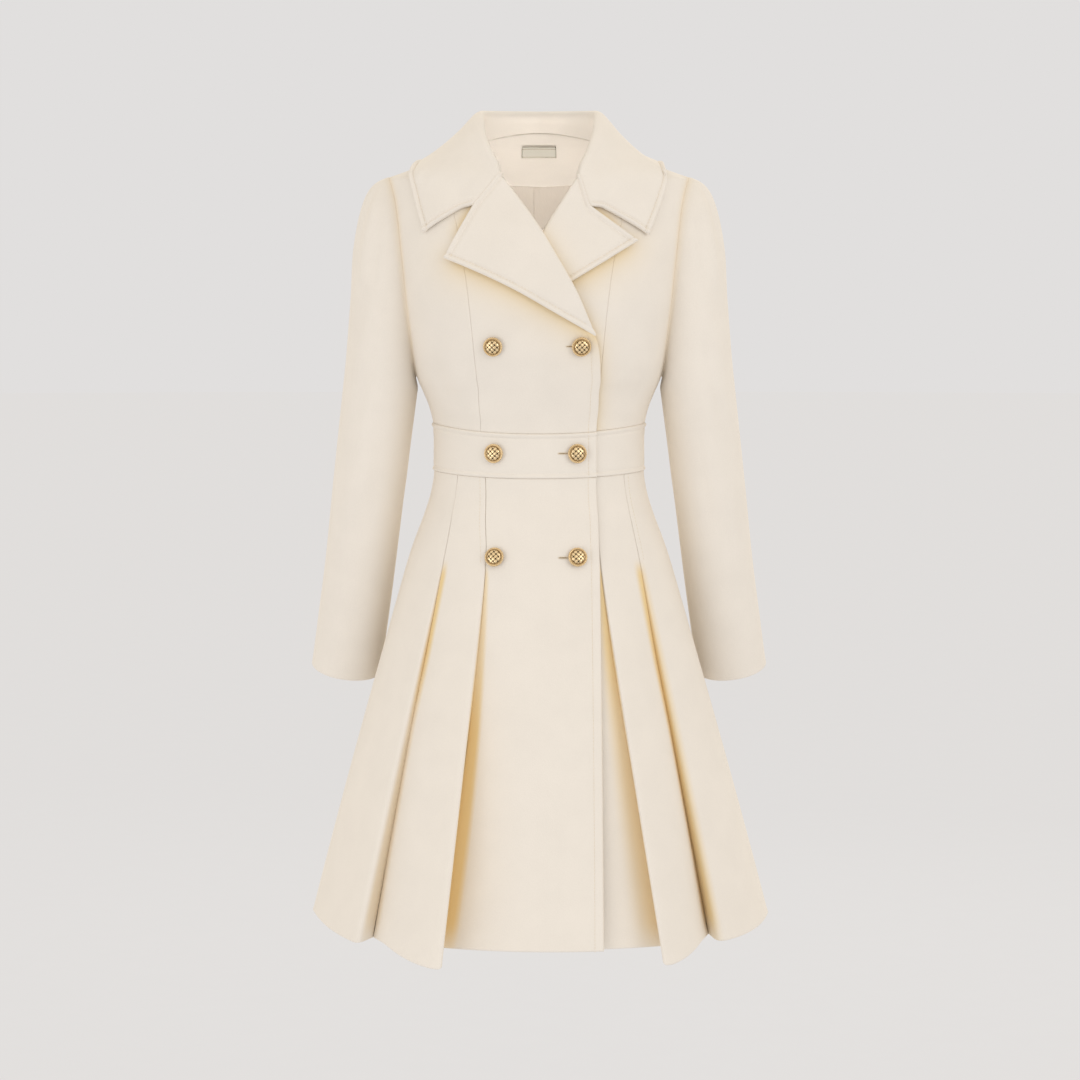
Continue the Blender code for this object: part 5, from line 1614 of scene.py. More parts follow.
def finishes(context, *kinds):
    """Materials of the given kinds, each built on its first use."""
    colours = context.scene.coat_colours
    made = []
    for kind in kinds:
        name, build = FINISHES[kind]
        found = bpy.data.materials.get(name)
        if found is None:
            found = bpy.data.materials.new(name)
            found.use_nodes = True
            found.diffuse_color = getattr(colours, kind, found.diffuse_color)
            tree = found.node_tree
            set_inputs(tree, tree.nodes["Principled BSDF"], build(tree, colours))
        made.append(found)
    return made


Cloth = namedtuple("Cloth", "outer normal far")


def put(name, data):
    """A new object in the scene."""
    thing = bpy.data.objects.new(name, data)
    bpy.context.scene.collection.objects.link(thing)
    return thing


def put_mesh(name, points, faces, materials):
    """A smooth mesh piece at the origin."""
    mesh = bpy.data.meshes.new(name)
    mesh.from_pydata(points, [], faces)
    mesh.shade_smooth()
    for material in materials:
        mesh.materials.append(material)
    return put(name, mesh)


def point_values(mesh, name, values):
    """State one value for each point of a mesh."""
    mesh.attributes.new(name, "FLOAT", "POINT").data.foreach_set("value", values.astype(np.float32))


def tie(piece):
    """Let a piece ride with the coat, hung from the body's root."""
    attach(piece, "root")


def sheet_depths(far, edges, thick, pinch):
    """Half thickness of a sheet, how open its edges are, and the level at which its skins meet."""
    shape = np.broadcast_shapes(*(part.shape for part in far.values()))
    half = np.zeros(shape) + thick / 2
    full = thick / np.max(thick)
    closing = np.ones(shape)
    rim = np.zeros(shape)
    for side, edge in edges.items():
        away = far[side]
        near = np.clip(away / edge.radius, 0.0, 1.0)
        round_off = (1 - (1 - near) ** 2) ** (0.5 + 0.5 * edge.rim / SEWN.rim)
        rim = np.where(round_off < closing, edge.rim * thick / 2, rim)
        closing = np.minimum(closing, round_off)
        if edge.stitch > 0:
            turned_in = np.clip(away / edge.stitch, 0.0, 1.0)
            half += full * edge.swell * np.sin(np.pi * turned_in ** 0.6)
            half -= full * edge.pinch * pinch * np.exp(-(((away - edge.stitch) / PINCH_WIDTH) ** 2))
        else:
            half += full * edge.swell * np.exp(-((away / SWELL_WIDTH) ** 2))
    return half, closing, rim


def make_cloth(
    context, node, middle, reference, thick, edges, kinds, fold=None, lined=None
):
    """A closed sheet of cloth whose two skins meet in a rounded edge all round."""
    sizes = context.scene.coat_sizes
    across, along = runs(middle)
    far = {"start": across, "end": across[:, -1:] - across, "foot": along, "head": along[-1:] - along}
    half, closing, rim = sheet_depths(far, edges, thick, sizes.pinch)
    normal = grid_normal(middle)
    turned = float((normal * reference).sum()) < 0
    if turned:
        normal = -normal
    outer = middle + normal * (rim + (half - rim) * closing)[..., None]
    inner = middle + normal * (rim - (thick / 2 + rim) * closing)[..., None]
    rows, cols = half.shape
    front = np.arange(rows * cols).reshape(rows, cols)
    back = front.copy()
    back[1:-1, 1:-1] = rows * cols + np.arange((rows - 2) * (cols - 2)).reshape(rows - 2, cols - 2)
    quads = []
    for grid, flip in ((front, turned), (back, not turned)):
        quad = np.stack((grid[:-1, :-1], grid[1:, :-1], grid[1:, 1:], grid[:-1, 1:]), axis=-1).reshape(-1, 4)
        quads.append(quad[:, ::-1] if flip else quad)

    def both_skins(one, other):
        inside = other[1:-1, 1:-1]
        return np.concatenate((one.reshape(rows * cols, -1), inside.reshape((rows - 2) * (cols - 2), -1)))

    materials = finishes(context, *kinds)
    piece = put_mesh(node + "_cloth", both_skins(outer, inner), np.concatenate(quads), materials)
    mesh = piece.data
    flat = np.stack((across, along), axis=-1)
    flat = both_skins(flat, flat)
    corner = np.empty(len(mesh.loops), np.int32)
    mesh.loops.foreach_get("vertex_index", corner)
    mesh.uv_layers.new(name="cloth").data.foreach_set("uv", flat[corner].astype(np.float32).ravel())
    # The fold attribute holds the strength of the painted warm shade
    deep = np.zeros((rows, cols)) if fold is None else fold
    point_values(mesh, "fold", both_skins(deep, deep).ravel())
    if lined is not None:
        face = lined[:-1, :-1].ravel().astype(np.int32)
        mesh.polygons.foreach_set("material_index", np.concatenate((np.zeros(len(face), np.int32), face)))
    tie(piece)
    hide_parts(node)
    state_cut(middle, across, along, 0.0 if node == "neck_label" else sizes.allowance)
    return Cloth(outer, normal, far)


def state_cut(middle, across, along, allowance):
    """Work out the width, length and area of the flat cut that a sheet was sewn from; they are not kept."""
    width = float(across[:, -1].max()) + 2 * allowance
    length = float(along[-1].max()) + 2 * allowance
    one = np.cross(middle[1:, 1:] - middle[:-1, :-1], middle[1:, :-1] - middle[:-1, 1:])
    area = float(np.linalg.norm(one, axis=-1).sum()) / 2
    border = float(across[0, -1] + across[-1, -1] + along[-1, 0] + along[-1, -1])
    area = min(area + allowance * border, width * length)


def stitch_line(cloth, side, at, first, last):
    """Topstitch line at a distance from one side of a sheet, with the directions that it lies on."""
    far, outer, normal = cloth.far[side], cloth.outer, cloth.normal
    if side in ("foot", "head"):
        far, outer, normal = far.T, outer.swapaxes(0, 1), normal.swapaxes(0, 1)
    if side in ("end", "head"):
        far, outer, normal = far[:, ::-1], outer[:, ::-1], normal[:, ::-1]
    count = len(far)
    kept = range(int(first * (count - 1)), int(last * (count - 1)) + 1)
    up = unit(np.array([read_line(at, far[k], normal[k]) for k in kept]))
    return np.array([read_line(at, far[k], outer[k]) for k in kept]) + up * THREAD_LIFT, up


def stitch_tree():
    """Geometry nodes that lay small rounded stitches or beads along edges."""
    found = bpy.data.node_groups.get("Row of stitches")
    if found:
        return found
    tree = bpy.data.node_groups.new("Row of stitches", "GeometryNodeTree")
    face = tree.interface
    face.new_socket("Geometry", in_out="INPUT", socket_type="NodeSocketGeometry")
    for name in ("Pitch", "Length", "Width", "Height", "Slant"):
        face.new_socket(name, in_out="INPUT", socket_type="NodeSocketFloat")
    face.new_socket("Material", in_out="INPUT", socket_type="NodeSocketMaterial")
    face.new_socket("Geometry", in_out="OUTPUT", socket_type="NodeSocketGeometry")

    def step(kind, inputs=None, **settings):
        return add(tree, kind, inputs, **settings).outputs[0]

    given = add(tree, "NodeGroupInput").outputs
    path = step("GeometryNodeMeshToCurve", {"Mesh": given["Geometry"]})
    even = step("GeometryNodeResampleCurve", {"Curve": path, "Length": given["Pitch"]}, mode="LENGTH")
    bead = step("GeometryNodeMeshUVSphere", {"Segments": 8, "Rings": 5, "Radius": 0.5})
    up = step("GeometryNodeInputNamedAttribute", {"Name": "up"}, data_type="FLOAT_VECTOR")
    along = step("GeometryNodeInputTangent")
    aimed = step("FunctionNodeAlignRotationToVector", {"Vector": along}, axis="X")
    upright = step(
        "FunctionNodeAlignRotationToVector", {"Rotation": aimed, "Vector": up}, axis="Z", pivot_axis="X"
    )
    tilt = step("FunctionNodeAxisAngleToRotation", {"Axis": (0.0, 0.0, 1.0), "Angle": given["Slant"]})
    turned = step(
        "FunctionNodeRotateRotation", {"Rotation": upright, "Rotate By": tilt}, rotation_space="LOCAL"
    )
    size = step("ShaderNodeCombineXYZ", {0: given["Length"], 1: given["Width"], 2: given["Height"]})
    placed = step(
        "GeometryNodeInstanceOnPoints", {"Points": even, "Instance": bead, "Rotation": turned, "Scale": size}
    )
    real = step("GeometryNodeRealizeInstances", {"Geometry": placed})
    smooth = step("GeometryNodeSetShadeSmooth", {"Geometry": real})
    coated = step("GeometryNodeSetMaterial", {"Geometry": smooth, "Material": given["Material"]})
    add(tree, "NodeGroupOutput", {0: coated})
    return tree


def sew(name, lines, values, material, closed=False):
    """One mesh of stitches or beads laid along the given lines by geometry nodes."""
    points = np.concatenate([line for line, _ in lines])
    ups = np.concatenate([up for _, up in lines])
    edges = []
    start = 0
    for line, _ in lines:
        count = len(line)
        edges.extend((start + k, start + k + 1) for k in range(count - 1))
        if closed:
            edges.append((start + count - 1, start))
        start += count
    mesh = bpy.data.meshes.new(name + "_path")
    mesh.from_pydata(points, edges, [])
    upward = mesh.attributes.new("up", "FLOAT_VECTOR", "POINT").data
    upward.foreach_set("vector", ups.astype(np.float32).ravel())
    path = put(mesh.name, mesh)
    modifier = path.modifiers.new("Stitches", "NODES")
    modifier.node_group = stitch_tree()
    for item in modifier.node_group.interface.items_tree:
        if item.in_out == "INPUT" and item.name in values:
            modifier[item.identifier] = values[item.name]
        if item.in_out == "INPUT" and item.name == "Material":
            modifier[item.identifier] = material
    made = bpy.data.meshes.new_from_object(path.evaluated_get(bpy.context.evaluated_depsgraph_get()))
    path.modifiers.clear()
    bpy.data.objects.remove(path)
    made.name = name
    return put(name, made)


def topstitch(context, name, lines):
    """Topstitching along lines, riding with the coat."""
    sizes = context.scene.coat_sizes
    values = {
        "Pitch": sizes.stitch_pitch,
        "Length": sizes.stitch_length,
        "Width": sizes.thread,
        "Height": sizes.thread,
        "Slant": 0.0,
    }
    tie(sew(name, lines, values, finishes(context, "thread")[0]))


def aim(thing, place, target):
    """Set a camera or a lamp at a place, looking at a target."""
    thing.location = place
    thing.rotation_euler = (Vector(target) - Vector(place)).to_track_quat("-Z", "Y").to_euler()


class COAT_OT_stage(bpy.types.Operator):
    """Camera at the photograph's angle, a pale floor and soft light"""

    bl_idname = "coat.stage"
    bl_label = "Stage"

    def execute(self, context):
        lens = bpy.data.cameras.new("Camera")
        lens.sensor_width = SENSOR
        lens.lens = LENS
        lens.clip_end = FAR
        camera = put("Camera", lens)
        aim(camera, EYE, LOOK_AT)
        context.scene.camera = camera
        context.scene.view_settings.view_transform = "Standard"
        angle = np.linspace(0.0, 2 * math.pi, FLOOR_SIDES, endpoint=False)
        height = np.full(FLOOR_SIDES, context.scene.coat_sizes.floor)
        rim = np.stack((FLOOR_RADIUS * np.cos(angle), FLOOR_RADIUS * np.sin(angle), height), axis=-1)
        put_mesh("studio_floor", rim, [list(range(FLOOR_SIDES))], finishes(context, "paper"))
        world = bpy.data.worlds.new("Studio")
        context.scene.world = world
        world.use_nodes = True
        tree = world.node_tree
        # Seen straight on the studio is neutral; the cards that light the coat are warm
        seen = add(tree, "ShaderNodeLightPath").outputs["Is Camera Ray"]
        colour = mix(tree, seen, linear("#f1ebe2"), list(context.scene.coat_colours.backdrop))
        set_inputs(tree, tree.nodes["Background"], {"Color": colour})
        for row in LAMPS:
            light = bpy.data.lights.new(row.name, "AREA")
            light.size = row.size
            light.energy = row.power
            light.spread = math.radians(row.cone)
            light.color = linear(row.colour)[:3]
            lamp = put(row.name, light)
            aim(lamp, row.place, row.aim)
            lamp.visible_camera = False
        return {"FINISHED"}


class COAT_OT_bodice(bpy.types.Operator):
    """Two fronts, two side fronts and two backs of the bodice"""

    bl_idname = "coat.bodice"
    bl_label = "Bodice"

    def shade(self, grid, plan, side):
        """How strongly warm shade is painted on each point under a lapel or at the armhole seam, from 0 to 1.
        """
        loop = body(*armhole(np.linspace(0.0, 2 * math.pi, ARMHOLE_POINTS), side))
        away = np.linalg.norm(grid[:, :, None] - loop, axis=-1).min(axis=-1)
        depth = ARMHOLE_SHADE.strength * np.exp(-((away / ARMHOLE_SHADE.soft) ** 2))
        if plan:
            share = np.linspace(0.0, 1.0, LINE_POINTS)
            tip, notch = np.array(plan.tip), np.array(plan.notch)
            upper = tip + (notch - tip) * share[:, None]
            # The shade is fainter at the tip, and along the top edge it starts past the tip
            fade = ease((1.0 - share) / TIP_RUN + TIP_LEFT)
            depth = np.maximum(depth, shade_near(grid, lower_line(plan, share), LAPEL_EDGE_SHADE, fade))
            fade = ease((share - TOP_START) / TOP_RUN)
            depth = np.maximum(depth, shade_near(grid, upper, LAPEL_TOP_SHADE, fade))
        if plan is LEFT_FRONT:
            depth = np.maximum(depth, shade_near(grid, overlap_line(), LAP_SHADE))
        return depth

    def lay(self, context, node, grid, rise, edges, lined, plan, side):
        """One panel on the worn form."""
        normal = outside(grid)[1]
        crease = crease_lift(grid, BODY_CREASES)[..., None] * context.scene.coat_sizes.crease
        middle = round_shoulder(grid + normal * (rise_at(grid, rise) + crease - CLOTH / 2))
        return make_cloth(
            context, node, middle, normal, CLOTH, edges, ("wool", "satin"),
            self.shade(grid, plan, side), np.full(grid.shape[:2], lined),
        )

    def execute(self, context):
        fronts = (
            ("bodice_right", RIGHT_FRONT, EDGE_WAIST_X, lap, FRONT, NEAR_FRONT),
            ("bodice_left", LEFT_FRONT, UNDERLAP_WAIST_X, level, TUCKED, NEAR_SEAM),
        )
        v = spread(BODICE_RUN, NEAR_SEAM, NEAR_SEAM, STEP)
        sewn = dict.fromkeys(SIDES, SEWN)
        lines = []
        for stem, plan, waist_x, rise, opening, near in fronts:
            side = plan.side
            seam = princess(side)
            seam_at = float(seam(np.array(0.0))[0])
            inner = front_edge(plan, waist_x)
            first = float(inner(np.array(0.0))[0])
            q = spread(FRONT_RUN, near, NEAR_SEAM, STEP)
            grid = coons(waist_run(first, seam_at), front_top(plan), inner, seam, q, v)
            edges = dict(sewn, start=opening)
            made = self.lay(context, stem + "_front", grid, rise, edges, False, plan, side)
            if opening.stitch:
                lines.append(stitch_line(made, "start", opening.stitch, *FRONT_STITCHED))
            low = waist_run(seam_at, side * math.pi / 2)
            shoulder = shoulder_run(side, MID_SHOULDER, ARMHOLE_TOP)
            q = spread(SIDE_FRONT_RUN, NEAR_SEAM, NEAR_SEAM, STEP)
            grid = coons(low, shoulder, seam, side_edge(side, True), q, v)
            self.lay(context, stem + "_side_front", grid, rise, sewn, True, plan, side)
        q = spread(BACK_RUN, NEAR_SEAM, NEAR_SEAM, STEP)
        for node, side in (("bodice_right_back", -1.0), ("bodice_left_back", 1.0)):
            self.lay(context, node, back_panel(side, q, v), level, sewn, True, None, side)
        topstitch(context, "bodice_front_stitching", lines)
        return {"FINISHED"}


class COAT_OT_waistband(bpy.types.Operator):
    """Raised waistband in three pieces with welted edges"""

    bl_idname = "coat.waistband"
    bl_label = "Waistband"

    def execute(self, context):
        over = float(turn_at(EDGE_WAIST_X, BAND_MIDDLE))
        under = float(turn_at(UNDERLAP_WAIST_X, BAND_MIDDLE))
        pieces = (
            ("waistband_right_front", -math.pi / 2, over, lap, SEWN, FRONT),
            ("waistband_left_front", under, math.pi / 2, level, TUCKED, SEWN),
            ("waistband_back", math.pi / 2, 1.5 * math.pi, level, SEWN, SEWN),
        )
        v = spread(BAND_RUN, NEAR_STITCH, NEAR_STITCH, BAND_STEP)[:, None]
        lines = []
        for node, first, last, rise, start, end in pieces:
            run = BAND_RADIUS * abs(last - first)
            q = spread(run, NEAR_SEAM, NEAR_FRONT if end.stitch else NEAR_SEAM, BAND_STEP)
            turn = (first + (last - first) * q)[None, :]
            z = waist_bottom(turn) + (waist_top(turn) - waist_bottom(turn)) * v
            grid = body(turn, z)
            normal = outside(grid)[1]
            middle = grid + normal * (rise_at(grid, rise) + BAND_RAISE - BAND / 2)
            edges = {"start": start, "end": end, "foot": WELT, "head": WELT}
            made = make_cloth(context, node, middle, normal, BAND, edges, ("wool",))
            if end.stitch:
                lines.append(stitch_line(made, "end", end.stitch, *EDGE_STITCHED))
        topstitch(context, "waistband_front_stitching", lines)
        return {"FINISHED"}


class COAT_OT_skirt(bpy.types.Operator):
    """Eleven gores of the skirt with the pleats folded towards the centres"""

    bl_idname = "coat.skirt"
    bl_label = "Skirt"

    def shade(self, gore, outer, fold_at):
        """How strongly warm shade is painted in a pleat at each point, from 0 to 1."""
        across = runs(outer)[0]
        share = np.clip((RELEASE - outer[..., 2]) / (RELEASE - HEM), 0.0, 1.0)
        depth = np.zeros(across.shape)
        ends = ((gore.start, across, not fold_at), (gore.end, across[:, -1:] - across, True))
        for name, away, tucked in ends:
            if name not in PLEATS:
                continue
            # Painted warm shade of this pleat
            gold = PAINTED_PLEAT_SHADE[name]
            strength = gold.top + (gold.low - gold.top) * ease((share - PLEAT_SHADE_CHANGE) / PLEAT_SHADE_CHANGE_RUN)
            if tucked:
                wide = gold.wide_top + (gold.wide_low - gold.wide_top) * share
                soft = gold.soft_top + (gold.soft_low - gold.soft_top) * share
                near = 1.0 - ease((away - wide) / soft)
            else:
                inward = across[:, fold_at:fold_at + 1] - across
                near = ease((inward + gold.face) / (PLEAT_SHADE_FACE + gold.face))
            depth = np.maximum(depth, strength * near)
        hem = PLEAT_SHADE_HEM + (1.0 - PLEAT_SHADE_HEM) * ease((outer[..., 2] - HEM) / PLEAT_SHADE_HEM_RUN)
        return depth * ease(share / PLEAT_SHADE_START) * hem

    def columns(self, gore):
        """Shares across a gore, close together near its front edge or fold and near its other end."""
        start = np.array(NEAR_FRONT) / GORE_RUN if gore.start in FREE_ENDS else np.array(NEAR_FOLD)
        end = 1 - np.array(NEAR_SEAM[::-1]) / GORE_END_RUN
        return np.concatenate((start, np.linspace(start[-1], end[0], GORE_COLS)[1:-1], end))

    def execute(self, context):
        sizes = context.scene.coat_sizes
        upper = np.concatenate((NEAR_WAIST, np.linspace(0.0, 1.0, YOKE_ROWS)[1:]))
        lower = np.concatenate((np.linspace(0.0, LAST_EVEN, FLARE_ROWS)[1:], 1 - np.array(NEAR_HEM)))
        inward = 1 - (1 - np.linspace(0.0, 1.0, RETURN_COLS)[:-1]) ** RETURN_CROWD
        sewn_down = len(upper) / (len(upper) + len(lower))
        lines = []
        for gore in GORES:
            outer, fold_at = gore_points(gore, upper, lower, self.columns(gore), inward, sizes.fold_radius)
            normal = grid_normal(outer)
            if float((normal * outer)[..., :2].sum()) < 0:
                normal = -normal
            across, along = runs(outer)
            ahead = across - across[:, fold_at:fold_at + 1] if fold_at else across + 1.0
            # A pressed fold is thinner than the cloth beside it; creases die out before folds and side seams
            thick = CLOTH * (PRESSED + (1.0 - PRESSED) * ease(ahead / PRESSED_RUN))
            lift = crease_lift(outer, SKIRT_CREASES) + crease_lift(outer, BODY_CREASES)
            lift = lift * ease(ahead / CREASE_FADE) * sizes.crease
            sewn = gore.end.startswith("side")
            if sewn:
                lift = lift * ease((across[:, -1:] - across) / CREASE_FADE)
            middle = outer + normal * (lift - thick / 2)[..., None]
            edges = {
                "start": FRONT if gore.start == "front_edge" else TUCKED,
                "end": SEWN if sewn else TUCKED,
                "foot": SEWN,
                "head": HEMMED,
            }
            lined = (along[-1:] - along > HEM_FACING) & (ahead > PLEAT_FACING)
            made = make_cloth(
                context, gore.name, middle, normal, thick, edges, ("wool", "satin"),
                self.shade(gore, outer, fold_at), lined,
            )
            if gore.start == "front_edge":
                lines.append(stitch_line(made, "start", FRONT.stitch, *SKIRT_STITCHED))
            if gore.start in ("right_inner", "left_outer"):
                lines.append(stitch_line(made, "start", LIP_STITCH, SKIRT_STITCHED[0], sewn_down))
        topstitch(context, "skirt_front_stitching", lines)
        return {"FINISHED"}


class COAT_OT_sleeves(bpy.types.Operator):
    """Two-piece sleeves set into the armholes with a little fullness in the cap"""

    bl_idname = "coat.sleeves"
    bl_label = "Sleeves"

    def execute(self, context):
        cap = np.concatenate((NEAR_ARMHOLE, np.linspace(CAP_FIRST, 1.0, CAP_ROWS)))
        tube = np.concatenate((np.linspace(0.0, ARM_LAST, ARM_ROWS)[1:], 1 - np.array(NEAR_CUFF)))
        shares = np.concatenate((cap, 1.0 + tube))[:, None]
        edges = dict.fromkeys(SIDES, SEWN)
        edges["head"] = HEMMED
        for piece in SLEEVE_PIECES:
            q = spread(piece.run, NEAR_SEAM, NEAR_SEAM, SLEEVE_STEP)
            degrees = (piece.first + (piece.last - piece.first) * q)[None, :]
            psi = np.radians(degrees)
            normal = sleeve_normal(psi, shares)
            lift = fold_lift(degrees, shares) * context.scene.coat_sizes.crease
            middle = sleeve(psi, shares) + normal * (lift - CLOTH / 2)[..., None]
            along = runs(middle)[1]
            # Painted warm shade along the armhole seam
            depth = CAP_SHADE.strength * np.exp(-((along / CAP_SHADE.soft) ** 2))
            # A little painted warm shade on the side of the arm towards the body, below the armhole
            inner_arm = ease(-INNER_ARM_TURN - np.cos(psi)) * ease((shares - INNER_ARM_START) / INNER_ARM_RUN)
            depth = np.maximum(depth, INNER_ARM_SHADE * inner_arm)
            lined = along[-1:] - along > CUFF_FACING
            for hand, side in (("right", -1.0), ("left", 1.0)):
                mirror = np.array((side, 1.0, 1.0))
                make_cloth(
                    context, hand + "_" + piece.name, middle * mirror, normal * mirror, CLOTH, edges,
                    ("wool", "satin"), depth, lined,
                )
        return {"FINISHED"}


class COAT_OT_collar(bpy.types.Operator):
    """Collar from the neck seam up the stand, over the roll and down the fall"""

    bl_idname = "coat.collar"
    bl_label = "Collar"

    def join(self, middle, end, gorge):
        """Draw one end of the collar onto the gorge seam; also gives how far each column is sewn."""
        row = middle[end]
        first, last = (int(np.argmin(np.linalg.norm(row - gorge[k], axis=1))) for k in (0, -1))
        run = lengths(row)
        share = np.clip((run - run[first]) / (run[last] - run[first]), 0.0, 1.0)
        target = read_line(share, np.linspace(0.0, 1.0, len(gorge)), gorge)
        fade = 1.0 - ease((run - run[last]) / JOIN_FADE)
        shift = (target - row) * fade[:, None]
        shift[:first] = shift[first]
        shift[last:] = shift[last] * fade[last:, None]
        away = np.linalg.norm(middle - row[None], axis=2).min(axis=1)
        reach = 1.0 - ease(away / JOIN_REACH)
        sewn = 1.0 - ease((run - run[last] + JOIN_END) / (2 * JOIN_END))
        return middle + shift[None] * reach[:, None, None], sewn

    def part_sewn(self, sewn):
        """Edge that is sewn along the gorge and rolled past the notch."""
        blend = (one * sewn + other * (1 - sewn) for one, other in zip(SEWN[:3], ROLLED[:3]))
        return Edge(*blend, ROLLED.stitch, ROLLED.pinch * (1 - sewn))

    def execute(self, context):
        middle = np.concatenate((collar_half(RIGHT_FRONT)[:0:-1], collar_half(LEFT_FRONT)), axis=0)
        middle = settle(middle, middle.shape[1] - COLLAR_COLS + 2)
        cols = spread(COLLAR_FALL_RUN, NEAR_SEAM, NEAR_STITCH, COLLAR_STEP)
        middle = curve_through(middle, spread(COLLAR_RUN, NEAR_STITCH, NEAR_STITCH, STEP))
        middle = curve_through(middle.swapaxes(0, 1), cols).swapaxes(0, 1)
        reference = outside(middle)[1]
        fall = ease((cols - FALL_START) / (1.0 - FALL_START))
        middle = middle + reference * (COLLAR_LIFT * fall)[None, :, None]
        down = unit(middle[:, :1] - middle[:, NECK_AIM:NECK_AIM + 1])
        middle[:, :NECK_COLS] += down * (NECK_DOWN * np.linspace(1.0, 0.0, NECK_COLS))[None, :, None]
        edges = {"start": SEWN, "end": ROLLED}
        for side, end, plan, rise in (("foot", 0, RIGHT_FRONT, lap), ("head", -1, LEFT_FRONT, level)):
            middle, sewn = self.join(middle, end, gorge_line(plan, rise))
            edges[side] = self.part_sewn(sewn)
        reference[:, :middle.shape[1] // 2] = 0.0
        made = make_cloth(context, "collar", middle, reference, COLLAR, edges, ("wool",))
        topstitch(context, "collar_stitching", [stitch_line(made, "end", ROLLED.stitch, *EDGE_STITCHED)])
        return {"FINISHED"}


class COAT_OT_lapels(bpy.types.Operator):
    """Lapels that wrap the roll line and lie on the fronts"""

    bl_idname = "coat.lapels"
    bl_label = "Lapels"

    def execute(self, context):
        q = spread(LAPEL_WIDTH_RUN, NEAR_LAPEL_ROLL, NEAR_STITCH, LAPEL_STEP)
        q = np.concatenate(((0.0,), q))
        edges = {"start": TUCKED, "end": ROLLED, "foot": TUCKED, "head": ROLLED}
        lines = []
        for node, plan, rise in (("lapel_right", RIGHT_FRONT, lap), ("lapel_left", LEFT_FRONT, level)):
            rows = spread(LAPEL_RUN * (1 - plan.start), NEAR_SEAM, NEAR_STITCH, LAPEL_ROW_STEP)
            share = plan.start + (1 - plan.start) * rows
            middle = lapel_points(plan, rise, share, q)
            thick = LAPEL * run_out(share)[:, None]
            # Painted warm shade on the left lapel where the right front lies over it
            depth = shade_near(middle, overlap_line(), LAPEL_LAP_SHADE) if plan is LEFT_FRONT else None
            made = make_cloth(
                context, node, middle, outside(middle)[1], thick, edges, ("wool",), depth
            )
            lines.append(stitch_line(made, "end", ROLLED.stitch, *LAPEL_STITCHED))
        topstitch(context, "lapel_stitching", lines)
        return {"FINISHED"}


class COAT_OT_inside(bpy.types.Operator):
    """Back neck facing, back lining with its ease pleat, and a bare label"""

    bl_idname = "coat.inside"
    bl_label = "Inside of the back"

    def lay(self, q, v):
        """Grid over both backs with the shoulders eased, and its outward directions."""
        grid = across_back(back_panel, q, v)
        return grid + across_back(shoulder_ease, q, v), outside(grid)[1]

    def execute(self, context):
        near = -CLOTH - OVER - FACING / 2
        edges = dict.fromkeys(SIDES, TUCKED)
        cols, rows = FACING_GRID
        grid, normal = self.lay(np.linspace(0.0, BACK_NECK, cols), np.linspace(FACING_SHARE, 1.0, rows))
        middle = grid + normal * near
        make_cloth(context, "back_neck_facing", middle, -normal, FACING, edges, ("wool",))
        cols, rows = LINING_GRID
        top = FACING_SHARE + LINING_UNDER
        v = np.linspace(LINING_LOW, top, rows)
        grid, normal = self.lay(np.linspace(0.0, 1.0, cols) ** LINING_CROWD * LINING_WIDTH, v)
        x = grid[..., 0] - EASE_PLEAT_X
        pleat = np.where(x > 0, np.exp(-x / EASE_PLEAT_SOFT), np.exp(-((x / EASE_PLEAT_CRISP) ** 2)))
        pleat = EASE_PLEAT * pleat * ease((grid[..., 2] - EASE_PLEAT_LOW) / EASE_PLEAT_RUN)
        lift = near + LINING_SET - pleat * ease((top - v) / LINING_FADE)[:, None]
        middle = grid + normal * lift[..., None]
        make_cloth(
            context, "back_lining", middle, -normal, FACING, edges, ("satin",),
        )
        cols, rows = LABEL_GRID
        x = np.linspace(-LABEL_WIDTH / 2, LABEL_WIDTH / 2, cols)[None, :]
        z = np.linspace(LABEL_LOW, LABEL_LOW + LABEL_HEIGHT, rows)[:, None]
        grid = body(turn_at(x, z, 1), z)
        normal = outside(grid)[1]
        middle = grid - normal * (CLOTH + OVER + FACING + LABEL_SET + LABEL / 2)
        make_cloth(context, "neck_label", middle, -normal, LABEL, edges, ("tape",))
        return {"FINISHED"}


def seat_rise(button):
    """Rise of the cloth under a button above the right front."""
    return BAND_RAISE if "waist" in button.name else 0.0


